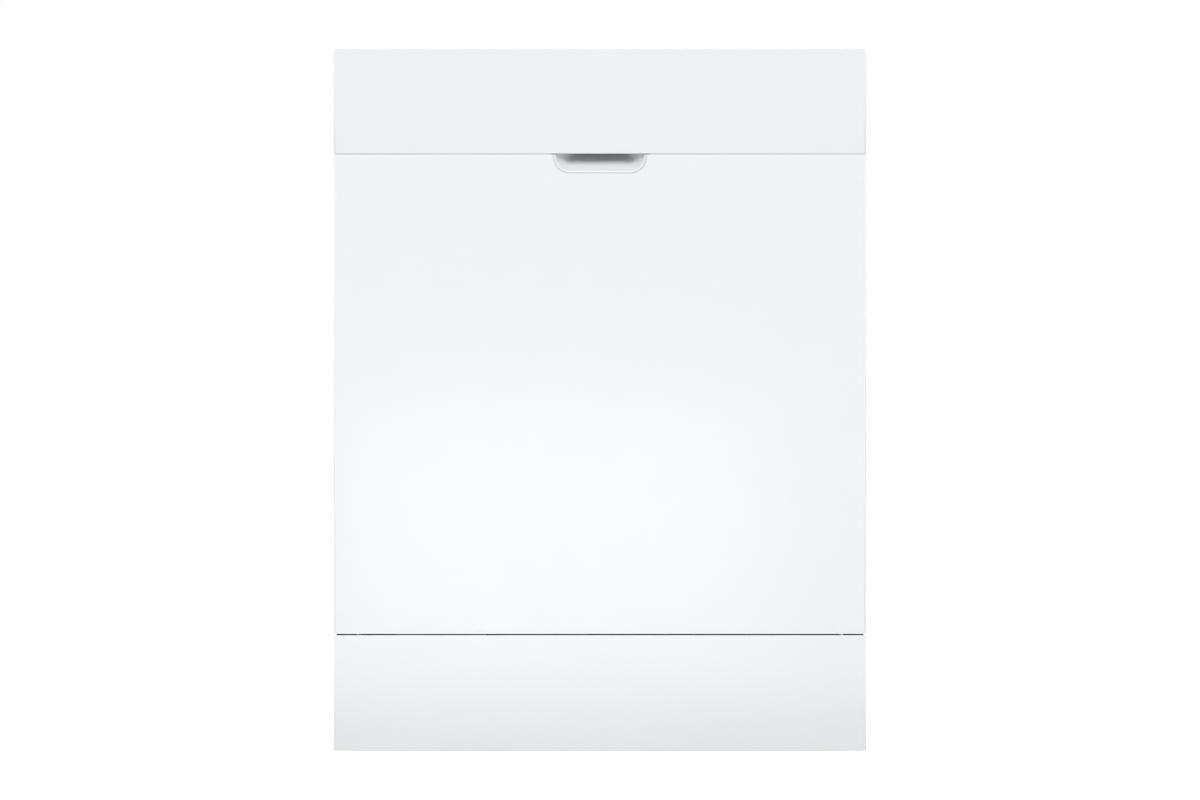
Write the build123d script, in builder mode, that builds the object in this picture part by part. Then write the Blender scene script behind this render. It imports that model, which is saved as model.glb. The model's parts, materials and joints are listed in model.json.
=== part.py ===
from build123d import *
import os
from math import hypot

# An under-counter dishwasher of the 60 cm class, as separate pieces.
# X runs to the right, Y to the rear and Z up; the origin is on the floor under the middle.

# Overall size
WIDTH = 596.0
HEIGHT = 787.0
DEPTH = 570.0
FRONT = -DEPTH / 2
REAR = DEPTH / 2

# Walls and clearances
SHEET = 1.0
PLASTIC = 2.5
GAP = 0.3
RUN = 0.05

# Front: kickplate, door panel and fascia
FLOOR_GAP = 1.0
KICK_TOP = 130.0
KICK_WALL = 1.5
KICK_GAP = 1.5
FASCIA_HEIGHT = 117.5
SEAM = 1.0
EDGE_ROUND = 2.0
DOOR_DEPTH = 42.0
DOOR_BOTTOM = KICK_TOP + KICK_GAP
FASCIA_BOTTOM = HEIGHT - FASCIA_HEIGHT
PANEL_TOP = FASCIA_BOTTOM - SEAM
DOOR_HALF = WIDTH / 2
DOOR_BACK = FRONT + DOOR_DEPTH

# Handle pocket
GRIP_WIDTH = 105.0
GRIP_HEIGHT = 21.0
GRIP_CORNER = 18.0
GRIP_DEPTH = 30.0
GRIP_SCOOP = 13.0
GRIP_SLOPE = 12.5
FINGER_WIDTH = GRIP_WIDTH - 2 * GRIP_SLOPE
FINGER_RISE = 34.0
FINGER_FRONT = 7.0
POCKET_WALL = 2.0

# Door hinge
HINGE_SETBACK = 16.0
HINGE_RISE = 60.0
PIN_R = 4.0
HINGE_PLATE = 3.0
HINGE_INSET = 28.0
HINGE_CLEAR = 1.0
HINGE_EYE_R = 9.0
LEVER_DROP = 54.0
HINGE_X = DOOR_HALF - HINGE_INSET
HINGE_Y = FRONT + HINGE_SETBACK
HINGE_Z = DOOR_BOTTOM + HINGE_RISE
SWING_R = hypot(HINGE_SETBACK, HINGE_RISE)
SWING_CLEAR = 4.0
BASE_HIGH_Y = HINGE_Y + SWING_R + SWING_CLEAR
BRACKET_X = HINGE_X + HINGE_PLATE + HINGE_CLEAR

# Cabinet
MOUTH_GAP = 6.0
DOOR_OVERHANG = 2.0
TOP_DROP = 6.0
BASE_WALL = 3.0
BASE_BOTTOM = 18.0
BASE_SETBACK = 4.0
BASE_DROP = 5.0
BASE_RISE = 12.5
SIDE_SHELF = 33.0
REAR_SHELF = 28.0
PANEL_LIFT = 1.0
BODY_FRONT = DOOR_BACK + SHEET + MOUTH_GAP
BODY_HALF = DOOR_HALF - DOOR_OVERHANG
CABINET_TOP = HEIGHT - TOP_DROP
BASE_FLOOR = BASE_BOTTOM + BASE_WALL
BASE_HALF = BODY_HALF - SHEET
BASE_FRONT = FRONT + BASE_SETBACK
BASE_REAR = REAR - SHEET
BASE_LOW_TOP = KICK_TOP - BASE_DROP
BASE_TOP = HINGE_Z + BASE_RISE
SHELF_X = BASE_HALF - SIDE_SHELF
PANEL_BOTTOM = BASE_FLOOR + PANEL_LIFT

# Feet
FOOT_INSET_X = 48.0
FOOT_INSET_Y = 45.0
FOOT_X = DOOR_HALF - FOOT_INSET_X
FOOT_Y = REAR - FOOT_INSET_Y
FOOT_PAD_R = 20.0
FOOT_PAD = 10.0
FOOT_STEM_R = 5.0
FOOT_TOP = 85.0
FOOT_BOSS_R = 12.0
FOOT_BOSS_TOP = 48.0

# Fixing holes in the base's side walls
FIXING_R = 2.75
FIXING_SETBACK = 26.0
FIXING_Y = BASE_FRONT + FIXING_SETBACK
FIXING_Z = (50.0, 100.0)

# Tub
TUB_SIDE = 28.0
TUB_CEILING = 13.0
TUB_BACK = 23.0
TUB_SKIN = 2.0
TUB_BASIN = 22.0
TUB_LEDGE = 30.0
TUB_FRONT_RIM = 10.0
TUB_REAR_RIM = 12.0
TUB_FLANGE = 15.0
TUB_HALF = DOOR_HALF - TUB_SIDE
TUB_TOP = CABINET_TOP - TUB_CEILING
TUB_REAR = REAR - TUB_BACK
TUB_FLOOR = BASE_TOP + TUB_SKIN
TUB_RIM = TUB_FLOOR + TUB_BASIN
FLANGE_HALF = TUB_HALF + SHEET + TUB_FLANGE
BASIN_HALF = TUB_HALF - TUB_LEDGE
BASIN_FRONT = BODY_FRONT + TUB_FRONT_RIM
BASIN_REAR = TUB_REAR - TUB_REAR_RIM
GASKET = 10.0
GASKET_DEPTH = 15.0
STRIKE_HALF = 10.0
STRIKE_RISE = 4.0
STRIKE_THICK = 4.0
STRIKE_REACH = 16.0
STRIKE_Z = (TUB_TOP + STRIKE_RISE, TUB_TOP + STRIKE_RISE + STRIKE_THICK)

# Sump, filter and lower spray arm
ARM_FORWARD = 2.0
ARM_CLEAR = 6.0
ARM_Y = (BASIN_FRONT + BASIN_REAR) / 2 - ARM_FORWARD
ARM_R = min(BASIN_HALF, ARM_Y - BASIN_FRONT, BASIN_REAR - ARM_Y) - ARM_CLEAR
FILTER_X = 55.0
FILTER_FORWARD = 85.0
FILTER_Y = ARM_Y - FILTER_FORWARD
SUMP_R = 56.0
SUMP_WALL = 3.0
SUMP_DEPTH = 86.0
SUMP_BOTTOM = BASE_TOP - SUMP_DEPTH
SUMP_FLANGE_R = 64.0
FILTER_R = 45.0
FILTER_PLATE = 1.5
CUP_DEPTH = 56.0
CUP_RISE = 5.0
CUP_BOTTOM = TUB_FLOOR - CUP_DEPTH
CUP_TOP = TUB_FLOOR + CUP_RISE
CUP_WALL = 2.0
POST_R = 12.0
POST_WALL = 2.0
POST_COLLAR_R = 20.0
POST_RISE = 7.0
POST_TOP = TUB_FLOOR + POST_RISE
SPIGOT_R = 8.0
SPIGOT = 9.0
ARM_WIDTH = 46.0
ARM_THICK = 12.0
ARM_HUB_R = 24.0
NOZZLE_R = 2.0

# Water side under the tub
PUMP_DROP = 54.0
PUMP_Z = BASE_TOP - PUMP_DROP
VOLUTE_R = 45.0
VOLUTE = 30.0
MOTOR_R = 38.0
MOTOR = 85.0
MOTOR_ROUND = 4.0
PORT_R = 14.0
PORT = 14.0
PUMP_FACE = FILTER_X - SUMP_R - PORT
DRAIN_FACE = FILTER_X + SUMP_R + PORT
MOTOR_END = PUMP_FACE - VOLUTE - MOTOR
HEATER_X = -32.0
HEATER_R = 18.0
HEATER = 95.0
DRAIN_R = 28.0
DRAIN = 75.0
DRAIN_PIPE_R = 9.5
DRAIN_SPIGOT_R = 10.5
DRAIN_SPIGOT = 35.0
DRAIN_BORE_R = 8.0
DRAIN_X = DRAIN_FACE + DRAIN / 2
SOFTENER_GAP = 5.0
SOFTENER_WIDE = 100.0
SOFTENER_LONG = 205.0
SOFTENER_HIGH = 110.0
SOFTENER_DROP = 4.0
SOFTENER_ROUND = 12.0
SALT_INSET_X = 30.0
SALT_INSET_Y = 55.0
SALT_FORWARD = 120.0
SALT_NECK_R = 26.0
SALT_BORE_R = 22.0
SALT_CAP_R = 30.0
SALT_CAP = 4.5
SALT_RISE = 2.0
SOFTENER_X = (MOTOR_END - SOFTENER_GAP - SOFTENER_WIDE, MOTOR_END - SOFTENER_GAP)
SALT_X = SOFTENER_X[1] - SALT_INSET_X
SALT_Y = ARM_Y - SALT_FORWARD
SALT_NECK_TOP = TUB_FLOOR + SALT_RISE
SOFTENER_Y = (SALT_Y - SALT_INSET_Y, SALT_Y - SALT_INSET_Y + SOFTENER_LONG)
SOFTENER_Z = (BASE_TOP - SOFTENER_DROP - SOFTENER_HIGH, BASE_TOP - SOFTENER_DROP)
INLET_INSET = 70.0
INLET_X = INLET_INSET - FOOT_X
INLET_Z = 70.0
INLET_R = 13.2
INLET_WALL = 3.0
INLET = 18.0
SERVICE_R = 22.0
CABLE_INSET = 80.0
CABLE_X = FOOT_X - CABLE_INSET
CABLE_Z = 60.0
CABLE_R = 5.0
NOSE_R = 8.7
BOX_HALF = 40.0
BOX_X = (CABLE_X - BOX_HALF, CABLE_X + BOX_HALF)
BOX_Z = (30.0, 90.0)
BOX_DEPTH = 46.0


def block(x, y, z, mode=Mode.ADD):
    """Add to the part a box between two limits on each axis, or cut it."""
    with Locations(((x[0] + x[1]) / 2, (y[0] + y[1]) / 2, (z[0] + z[1]) / 2)):
        Box(x[1] - x[0], y[1] - y[0], z[1] - z[0], mode=mode)


def post(x, y, radius, z, mode=Mode.ADD):
    """Add to the part an upright cylinder between two heights, or cut it."""
    with Locations((x, y, z[0])):
        Cylinder(radius, z[1] - z[0], align=(Align.CENTER, Align.CENTER, Align.MIN), mode=mode)


def bar_x(y, z, radius, x, mode=Mode.ADD):
    """Add to the part a cylinder along X between two limits, or cut it."""
    with BuildSketch(Plane.YZ.offset(x[0])) as section:
        with Locations((y, z)):
            Circle(radius)
    extrude(section.sketch, amount=x[1] - x[0], mode=mode)


def bar_y(x, z, radius, y, mode=Mode.ADD):
    """Add to the part a cylinder along Y between two limits, or cut it."""
    with BuildSketch(Plane.XZ.offset(-y[0])) as section:
        with Locations((x, z)):
            Circle(radius)
    extrude(section.sketch, amount=y[0] - y[1], mode=mode)


def keep(piece, name):
    """Label a finished piece and write its file."""
    piece.part.label = name
    export_step(piece.part, f"parts/{name}.step")


os.makedirs("parts", exist_ok=True)

# Base pan: a moulded tray, low in front where the door's lower edge swings
with BuildPart() as base_pan:
    block((-BASE_HALF, BASE_HALF), (BASE_FRONT, BASE_REAR), (BASE_BOTTOM, BASE_TOP))
    block((-BASE_HALF + BASE_WALL, BASE_HALF - BASE_WALL),
          (BASE_FRONT + BASE_WALL, BASE_REAR - BASE_WALL),
          (BASE_FLOOR, BASE_TOP - BASE_WALL), mode=Mode.SUBTRACT)
    block((-SHELF_X, SHELF_X), (BASE_FRONT, BASE_REAR - REAR_SHELF),
          (BASE_TOP - BASE_WALL, BASE_TOP), mode=Mode.SUBTRACT)
    block((-BASE_HALF, BASE_HALF), (BASE_FRONT, BASE_HIGH_Y), (BASE_LOW_TOP, BASE_TOP), mode=Mode.SUBTRACT)
    for foot_x in (-FOOT_X, FOOT_X):
        for foot_y in (-FOOT_Y, FOOT_Y):
            post(foot_x, foot_y, FOOT_BOSS_R, (BASE_BOTTOM, FOOT_BOSS_TOP))
            post(foot_x, foot_y, FOOT_STEM_R + RUN, (BASE_BOTTOM, FOOT_BOSS_TOP), mode=Mode.SUBTRACT)
    for fixing_z in FIXING_Z:
        bar_x(FIXING_Y, fixing_z, FIXING_R, (-BASE_HALF, BASE_HALF), mode=Mode.SUBTRACT)
    bar_y(INLET_X, INLET_Z, SERVICE_R, (BASE_REAR - BASE_WALL, BASE_REAR), mode=Mode.SUBTRACT)
    bar_y(DRAIN_X, PUMP_Z, SERVICE_R, (BASE_REAR - BASE_WALL, BASE_REAR), mode=Mode.SUBTRACT)
    bar_y(CABLE_X, CABLE_Z, NOSE_R + GAP, (BASE_REAR - BASE_WALL, BASE_REAR), mode=Mode.SUBTRACT)
keep(base_pan, "base_pan")

# Kickplate: a flat plate, flush with the door, seated on the base by two ribs
KICK_RIB_INSET = 98.0
KICK_RIB_X = DOOR_HALF - KICK_RIB_INSET
KICK_RIB = 20.0
KICK_ROUND = 1.2
with BuildPart() as kickplate:
    block((-DOOR_HALF, DOOR_HALF), (FRONT, FRONT + KICK_WALL), (FLOOR_GAP, KICK_TOP))
    fillet(kickplate.edges().filter_by(Axis.Z).group_by(Axis.Y)[0], KICK_ROUND)
    for rib_x in (-KICK_RIB_X, KICK_RIB_X):
        block((rib_x - KICK_RIB / 2, rib_x + KICK_RIB / 2), (FRONT + KICK_WALL, BASE_FRONT),
              (BASE_FLOOR, BASE_LOW_TOP - BASE_WALL))
keep(kickplate, "kickplate")


def side_panel(side):
    """Fill the current part with one side sheet, with a return at the front and a notch for the hinge."""
    outer = side * BODY_HALF
    inner = side * BASE_HALF
    x = (min(inner, outer), max(inner, outer))
    flange = (min(side * FLANGE_HALF, inner), max(side * FLANGE_HALF, inner))
    block(x, (BODY_FRONT, BASE_REAR), (PANEL_BOTTOM, CABINET_TOP))
    block(x, (BODY_FRONT, BASE_HIGH_Y), (PANEL_BOTTOM, BASE_TOP), mode=Mode.SUBTRACT)
    block(flange, (BODY_FRONT, BODY_FRONT + SHEET), (BASE_TOP, CABINET_TOP))


with BuildPart() as side_panel_left:
    side_panel(-1)
keep(side_panel_left, "side_panel_left")

with BuildPart() as side_panel_right:
    side_panel(1)
keep(side_panel_right, "side_panel_right")

# Rear panel, with the service openings
with BuildPart() as rear_panel:
    block((-BODY_HALF, BODY_HALF), (BASE_REAR, REAR), (PANEL_BOTTOM, CABINET_TOP))
    bar_y(INLET_X, INLET_Z, SERVICE_R, (BASE_REAR, REAR), mode=Mode.SUBTRACT)
    bar_y(DRAIN_X, PUMP_Z, SERVICE_R, (BASE_REAR, REAR), mode=Mode.SUBTRACT)
    bar_y(CABLE_X, CABLE_Z, NOSE_R + GAP, (BASE_REAR, REAR), mode=Mode.SUBTRACT)
keep(rear_panel, "rear_panel")

# Top panel, between the side panels
with BuildPart() as top_panel:
    block((-BASE_HALF, BASE_HALF), (BODY_FRONT + SHEET, BASE_REAR), (CABINET_TOP - SHEET, CABINET_TOP))
keep(top_panel, "top_panel")

# Hinge brackets: a plate on each side with a pin for the door
BRACKET_LEG = 29.0
BRACKET_ARM = (-8.0, 3.0)
BRACKET_FOOT = 13.0
with BuildPart() as hinge_brackets:
    for side in (-1, 1):
        with BuildSketch(Plane.YZ.offset(side * (BRACKET_X + HINGE_PLATE / 2))) as outline:
            with BuildLine():
                Polyline((HINGE_Y, HINGE_Z + BRACKET_ARM[0]), (BASE_HIGH_Y, HINGE_Z + BRACKET_ARM[0]),
                         (BASE_HIGH_Y, BASE_FLOOR), (BASE_HIGH_Y + BRACKET_LEG, BASE_FLOOR),
                         (BASE_HIGH_Y + BRACKET_LEG, HINGE_Z + BRACKET_ARM[1]),
                         (HINGE_Y, HINGE_Z + BRACKET_ARM[1]), close=True)
            make_face()
            with Locations((HINGE_Y, HINGE_Z)):
                Circle(HINGE_EYE_R)
        extrude(amount=HINGE_PLATE / 2, both=True)
        pin_tip = side * (HINGE_X - HINGE_CLEAR)
        pin_root = side * (BRACKET_X + HINGE_PLATE)
        bar_x(HINGE_Y, HINGE_Z, PIN_R, (min(pin_tip, pin_root), max(pin_tip, pin_root)))
        foot_edge = side * (BRACKET_X + BRACKET_FOOT)
        block((min(pin_root, foot_edge), max(pin_root, foot_edge)),
              (BASE_HIGH_Y, BASE_HIGH_Y + BRACKET_LEG), (BASE_FLOOR, BASE_FLOOR + HINGE_PLATE))
keep(hinge_brackets, "hinge_brackets")


def foot(x, y):
    """Add to the part one screw foot, pad on the floor."""
    post(x, y, FOOT_PAD_R, (0, FOOT_PAD))
    post(x, y, FOOT_STEM_R, (FOOT_PAD, FOOT_TOP))


with BuildPart() as foot_front_left:
    foot(-FOOT_X, -FOOT_Y)
keep(foot_front_left, "foot_front_left")

with BuildPart() as foot_front_right:
    foot(FOOT_X, -FOOT_Y)
keep(foot_front_right, "foot_front_right")

# Rear feet, set together by a spindle from the front
with BuildPart() as feet_rear:
    foot(-FOOT_X, FOOT_Y)
    foot(FOOT_X, FOOT_Y)
keep(feet_rear, "feet_rear")

# Tub wrapper: left wall, ceiling and right wall in one sheet, with a front flange
TUB_OUT = TUB_HALF + SHEET
with BuildPart() as tub_wrapper:
    block((-TUB_OUT, TUB_OUT), (BODY_FRONT, TUB_REAR), (TUB_RIM, TUB_TOP + SHEET))
    block((-FLANGE_HALF, FLANGE_HALF), (BODY_FRONT, BODY_FRONT + SHEET), (TUB_RIM, CABINET_TOP))
    block((-TUB_HALF, TUB_HALF), (BODY_FRONT, TUB_REAR), (TUB_RIM, TUB_TOP), mode=Mode.SUBTRACT)
keep(tub_wrapper, "tub_wrapper")

# Tub rear wall
with BuildPart() as tub_rear_wall:
    block((-TUB_OUT, TUB_OUT), (TUB_REAR, TUB_REAR + SHEET), (TUB_RIM, TUB_TOP + SHEET))
keep(tub_rear_wall, "tub_rear_wall")

# Tub floor: a basin between two ledges that carry the lower rack's wheels
LEDGE_SKIN = 2.0
with BuildPart() as tub_floor:
    block((-TUB_OUT, TUB_OUT), (BODY_FRONT, TUB_REAR + SHEET), (BASE_TOP, TUB_RIM))
    block((-BASIN_HALF, BASIN_HALF), (BASIN_FRONT, BASIN_REAR), (TUB_FLOOR, TUB_RIM), mode=Mode.SUBTRACT)
    for side in (-1, 1):
        near = side * (BASIN_HALF + LEDGE_SKIN)
        far = side * (TUB_OUT - LEDGE_SKIN)
        block((min(near, far), max(near, far)), (BASIN_FRONT, BASIN_REAR),
              (BASE_TOP, TUB_RIM - LEDGE_SKIN), mode=Mode.SUBTRACT)
    post(FILTER_X, FILTER_Y, SUMP_R - SUMP_WALL, (BASE_TOP, TUB_FLOOR), mode=Mode.SUBTRACT)
    post(0, ARM_Y, POST_R + GAP, (BASE_TOP, TUB_FLOOR), mode=Mode.SUBTRACT)
    post(SALT_X, SALT_Y, SALT_NECK_R + GAP, (BASE_TOP, TUB_FLOOR), mode=Mode.SUBTRACT)
keep(tub_floor, "tub_floor")

# Door gasket, round the sides and top of the tub's mouth
GASKET_FRONT = DOOR_BACK + SHEET + GAP
with BuildPart() as door_gasket:
    block((-TUB_HALF, TUB_HALF), (GASKET_FRONT, GASKET_FRONT + GASKET_DEPTH), (TUB_RIM, TUB_TOP))
    block((GASKET - TUB_HALF, TUB_HALF - GASKET), (GASKET_FRONT, GASKET_FRONT + GASKET_DEPTH),
          (TUB_RIM, TUB_TOP - GASKET), mode=Mode.SUBTRACT)
keep(door_gasket, "door_gasket")

# Strike for the door's latch, on the flange over the mouth
STRIKE_PLATE = 2.0
STRIKE_HOOK = 3.0
with BuildPart() as door_strike:
    block((-STRIKE_HALF, STRIKE_HALF), (BODY_FRONT - STRIKE_PLATE, BODY_FRONT),
          (TUB_TOP + SHEET, CABINET_TOP))
    block((-STRIKE_HALF, STRIKE_HALF), (DOOR_BACK - STRIKE_REACH, BODY_FRONT), STRIKE_Z)
    block((-STRIKE_HALF, STRIKE_HALF), (DOOR_BACK - STRIKE_REACH, DOOR_BACK - STRIKE_REACH + STRIKE_HOOK),
          (STRIKE_Z[0] - STRIKE_PLATE, STRIKE_Z[1]))
keep(door_strike, "door_strike")

# Sump bowl under the filter, with a port to each pump
SUMP_FLANGE = 3.0
PORT_BORE_R = PORT_R - SUMP_WALL
with BuildPart() as sump:
    post(FILTER_X, FILTER_Y, SUMP_R, (SUMP_BOTTOM, BASE_TOP))
    post(FILTER_X, FILTER_Y, SUMP_FLANGE_R, (BASE_TOP - SUMP_FLANGE, BASE_TOP))
    bar_x(FILTER_Y, PUMP_Z, PORT_R, (PUMP_FACE, DRAIN_FACE))
    bar_x(FILTER_Y, PUMP_Z, PORT_BORE_R, (PUMP_FACE, DRAIN_FACE), mode=Mode.SUBTRACT)
    post(FILTER_X, FILTER_Y, SUMP_R - SUMP_WALL, (SUMP_BOTTOM + SUMP_WALL, BASE_TOP), mode=Mode.SUBTRACT)
keep(sump, "sump")

# Circulation pump: volute, motor and outlet, on one leg
PUMP_LEG = 20.0
PUMP_OUTLET = 5.0
HEATER_FRONT = FILTER_Y + VOLUTE_R + PUMP_OUTLET
with BuildPart() as circulation_pump:
    bar_x(FILTER_Y, PUMP_Z, VOLUTE_R, (PUMP_FACE - VOLUTE, PUMP_FACE))
    bar_x(FILTER_Y, PUMP_Z, MOTOR_R, (MOTOR_END, PUMP_FACE - VOLUTE))
    fillet(circulation_pump.edges().filter_by(GeomType.CIRCLE).group_by(Axis.X)[0], MOTOR_ROUND)
    bar_y(HEATER_X, PUMP_Z, PORT_R, (FILTER_Y, HEATER_FRONT))
    block((MOTOR_END + PUMP_LEG, MOTOR_END + 3 * PUMP_LEG),
          (FILTER_Y - PUMP_LEG / 2, FILTER_Y + PUMP_LEG / 2), (BASE_FLOOR, PUMP_Z))
keep(circulation_pump, "circulation_pump")

# Water heater, in line between the pump and the spray arm's post
FEED_STUB = 1.0
FEED_R = POST_R - POST_WALL
HEATER_PAD = POST_R + FEED_STUB
TERMINAL = 8.0
with BuildPart() as water_heater:
    bar_y(HEATER_X, PUMP_Z, HEATER_R, (HEATER_FRONT, HEATER_FRONT + HEATER))
    bar_x(ARM_Y, PUMP_Z, FEED_R, (HEATER_X, -HEATER_PAD))
    for blade_z in (PUMP_Z - TERMINAL, PUMP_Z + TERMINAL):
        block((HEATER_X - TERMINAL / 2, HEATER_X + TERMINAL / 2),
              (HEATER_FRONT + HEATER, HEATER_FRONT + HEATER + TERMINAL),
              (blade_z - SHEET / 2, blade_z + SHEET / 2))
keep(water_heater, "water_heater")

# Post that carries and feeds the lower spray arm
with BuildPart() as arm_post:
    post(0, ARM_Y, POST_R, (PUMP_Z - PORT_R, POST_TOP))
    bar_x(ARM_Y, PUMP_Z, FEED_R, (-HEATER_PAD, 0))
    post(0, ARM_Y, POST_COLLAR_R, (BASE_TOP - SUMP_FLANGE, BASE_TOP))
    post(0, ARM_Y, SPIGOT_R, (POST_TOP, POST_TOP + SPIGOT))
keep(arm_post, "arm_post")

# Drain pump, and the straight pipe to the spigot at the rear
DRAIN_STUB = 6.0
DRAIN_OUTLET = FILTER_Y + DRAIN_R + DRAIN_STUB
with BuildPart() as drain_pump:
    bar_x(FILTER_Y, PUMP_Z, DRAIN_R, (DRAIN_FACE, DRAIN_FACE + DRAIN))
    bar_y(DRAIN_X, PUMP_Z, DRAIN_PIPE_R, (FILTER_Y, DRAIN_OUTLET))
keep(drain_pump, "drain_pump")

with BuildPart() as drain_pipe:
    bar_y(DRAIN_X, PUMP_Z, DRAIN_PIPE_R, (DRAIN_OUTLET, REAR - DRAIN_SPIGOT))
    bar_y(DRAIN_X, PUMP_Z, DRAIN_SPIGOT_R, (REAR - DRAIN_SPIGOT, REAR))
    bar_y(DRAIN_X, PUMP_Z, DRAIN_BORE_R, (DRAIN_OUTLET, REAR), mode=Mode.SUBTRACT)
keep(drain_pipe, "drain_pipe")

# Filter plate on the basin's floor, and the cup that turns in it
PLATE_HALF = 110.0
PLATE_FORE = 95.0
PLATE_AFT = 62.0
PLATE_X = (FILTER_X - PLATE_HALF, FILTER_X + PLATE_HALF)
PLATE_Y = (FILTER_Y - PLATE_FORE, FILTER_Y + PLATE_AFT)
PLATE_TOP = TUB_FLOOR + FILTER_PLATE
CUP_RIM = 5.0
CUP_GRIP = 6.0
CUP_GRIP_RISE = 3.0
CUP_GRIP_TOP = CUP_TOP + CUP_GRIP_RISE
with BuildPart() as filter_plate:
    block(PLATE_X, PLATE_Y, (TUB_FLOOR, PLATE_TOP))
    post(FILTER_X, FILTER_Y, FILTER_R + GAP, (TUB_FLOOR, PLATE_TOP), mode=Mode.SUBTRACT)
keep(filter_plate, "filter_plate")

with BuildPart() as filter_cup:
    post(FILTER_X, FILTER_Y, FILTER_R, (CUP_BOTTOM, CUP_TOP))
    post(FILTER_X, FILTER_Y, FILTER_R + CUP_RIM, (PLATE_TOP + GAP, CUP_TOP))
    post(FILTER_X, FILTER_Y, FILTER_R - CUP_WALL, (CUP_BOTTOM + CUP_WALL, CUP_TOP), mode=Mode.SUBTRACT)
    block((FILTER_X - FILTER_R, FILTER_X + FILTER_R), (FILTER_Y - CUP_GRIP / 2, FILTER_Y + CUP_GRIP / 2),
          (CUP_TOP - CUP_GRIP, CUP_GRIP_TOP))
keep(filter_cup, "filter_cup")


def spray_arm(x, y, bottom, hub_bottom, radius, width):
    """Fill the current part with a two-armed sprayer whose nozzles point up."""
    with BuildSketch(Plane.XY.offset(bottom)) as outline:
        with Locations((x, y)):
            SlotOverall(2 * radius, width)
    extrude(outline.sketch, amount=ARM_THICK)
    post(x, y, ARM_HUB_R, (hub_bottom, bottom + ARM_THICK))
    pitch = radius / 5
    for step in range(-4, 5):
        if step:
            post(x + step * pitch, y + (width / 6) * (-1) ** step, NOZZLE_R,
                 (bottom + ARM_THICK / 2, bottom + ARM_THICK), mode=Mode.SUBTRACT)


# Lower spray arm, free to turn on the post's spigot
ARM_LIFT = 4.0
ARM_BOTTOM = POST_TOP + ARM_LIFT
with BuildPart() as lower_spray_arm:
    spray_arm(0, ARM_Y, ARM_BOTTOM, POST_TOP + GAP, ARM_R, ARM_WIDTH)
    post(0, ARM_Y, SPIGOT_R + RUN, (POST_TOP + GAP, POST_TOP + SPIGOT + GAP), mode=Mode.SUBTRACT)
keep(lower_spray_arm, "lower_spray_arm")

# Softener tank with its salt neck through the tub floor, and the cap
SALT_COLLAR = 6.0
SALT_COLLAR_R = SALT_NECK_R + SALT_COLLAR
SALT_DEPTH = 60.0
with BuildPart() as softener:
    block(SOFTENER_X, SOFTENER_Y, SOFTENER_Z)
    fillet(softener.edges().filter_by(Axis.Z), SOFTENER_ROUND)
    post(SALT_X, SALT_Y, SALT_COLLAR_R, (SOFTENER_Z[1], BASE_TOP))
    post(SALT_X, SALT_Y, SALT_NECK_R, (BASE_TOP, SALT_NECK_TOP))
    post(SALT_X, SALT_Y, SALT_BORE_R, (SALT_NECK_TOP - SALT_DEPTH, SALT_NECK_TOP), mode=Mode.SUBTRACT)
keep(softener, "softener")

SALT_PLUG = 10.0
CAP_GRIP = 5.0
with BuildPart() as salt_cap:
    post(SALT_X, SALT_Y, SALT_CAP_R, (SALT_NECK_TOP + GAP, SALT_NECK_TOP + GAP + SALT_CAP))
    post(SALT_X, SALT_Y, SALT_BORE_R - RUN, (SALT_NECK_TOP - SALT_PLUG, SALT_NECK_TOP + GAP))
    for angle in range(0, 360, 30):
        with Locations(Location((SALT_X, SALT_Y, 0), (0, 0, angle))):
            with Locations((SALT_CAP_R, 0, SALT_NECK_TOP + GAP + SALT_CAP / 2)):
                Cylinder(CAP_GRIP / 2, SALT_CAP, mode=Mode.SUBTRACT)
keep(salt_cap, "salt_cap")

# Inlet valve with its threaded spigot at the rear
VALVE_HALF = 20.0
VALVE_DEPTH = 28.0
VALVE_LEG = 10.0
VALVE_REAR = REAR - INLET
with BuildPart() as inlet_valve:
    block((INLET_X - VALVE_HALF, INLET_X + VALVE_HALF), (VALVE_REAR - VALVE_DEPTH, VALVE_REAR),
          (INLET_Z - VALVE_HALF, INLET_Z + VALVE_HALF))
    block((INLET_X - VALVE_LEG, INLET_X + VALVE_LEG), (VALVE_REAR - VALVE_DEPTH, VALVE_REAR),
          (BASE_FLOOR, INLET_Z))
    bar_y(INLET_X, INLET_Z, INLET_R, (VALVE_REAR, REAR))
    bar_y(INLET_X, INLET_Z, INLET_R - INLET_WALL, (VALVE_REAR, REAR), mode=Mode.SUBTRACT)
keep(inlet_valve, "inlet_valve")

# Air break, in the space between the tub and the left side panel
BREAK_FORE = 110.0
BREAK_AFT = 140.0
BREAK_RISE = 72.0
BREAK_DROP = 168.0
BREAK_ROUND = 15.0
BREAK_Y = (ARM_Y - BREAK_FORE, ARM_Y + BREAK_AFT)
BREAK_Z = (TUB_RIM + BREAK_RISE, TUB_TOP - BREAK_DROP)
with BuildPart() as air_break:
    block((GAP - BASE_HALF, -TUB_OUT), BREAK_Y, BREAK_Z)
    fillet(air_break.edges().filter_by(Axis.X), BREAK_ROUND)
keep(air_break, "air_break")

# Terminal box against the base's rear wall, with its cable nose
BOX_WALL = 2.0
BOX_FRONT = BASE_REAR - BASE_WALL - BOX_DEPTH
with BuildPart() as terminal_box:
    block(BOX_X, (BOX_FRONT, BASE_REAR - BASE_WALL), BOX_Z)
    bar_y(CABLE_X, CABLE_Z, NOSE_R, (BASE_REAR - BASE_WALL, REAR))
    block((BOX_X[0] + BOX_WALL, BOX_X[1] - BOX_WALL), (BOX_FRONT, BASE_REAR - BASE_WALL - BOX_WALL),
          (BOX_Z[0] + BOX_WALL, BOX_Z[1] - BOX_WALL), mode=Mode.SUBTRACT)
    bar_y(CABLE_X, CABLE_Z, CABLE_R, (BASE_REAR - BASE_WALL - BOX_WALL, REAR), mode=Mode.SUBTRACT)
keep(terminal_box, "terminal_box")

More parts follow.
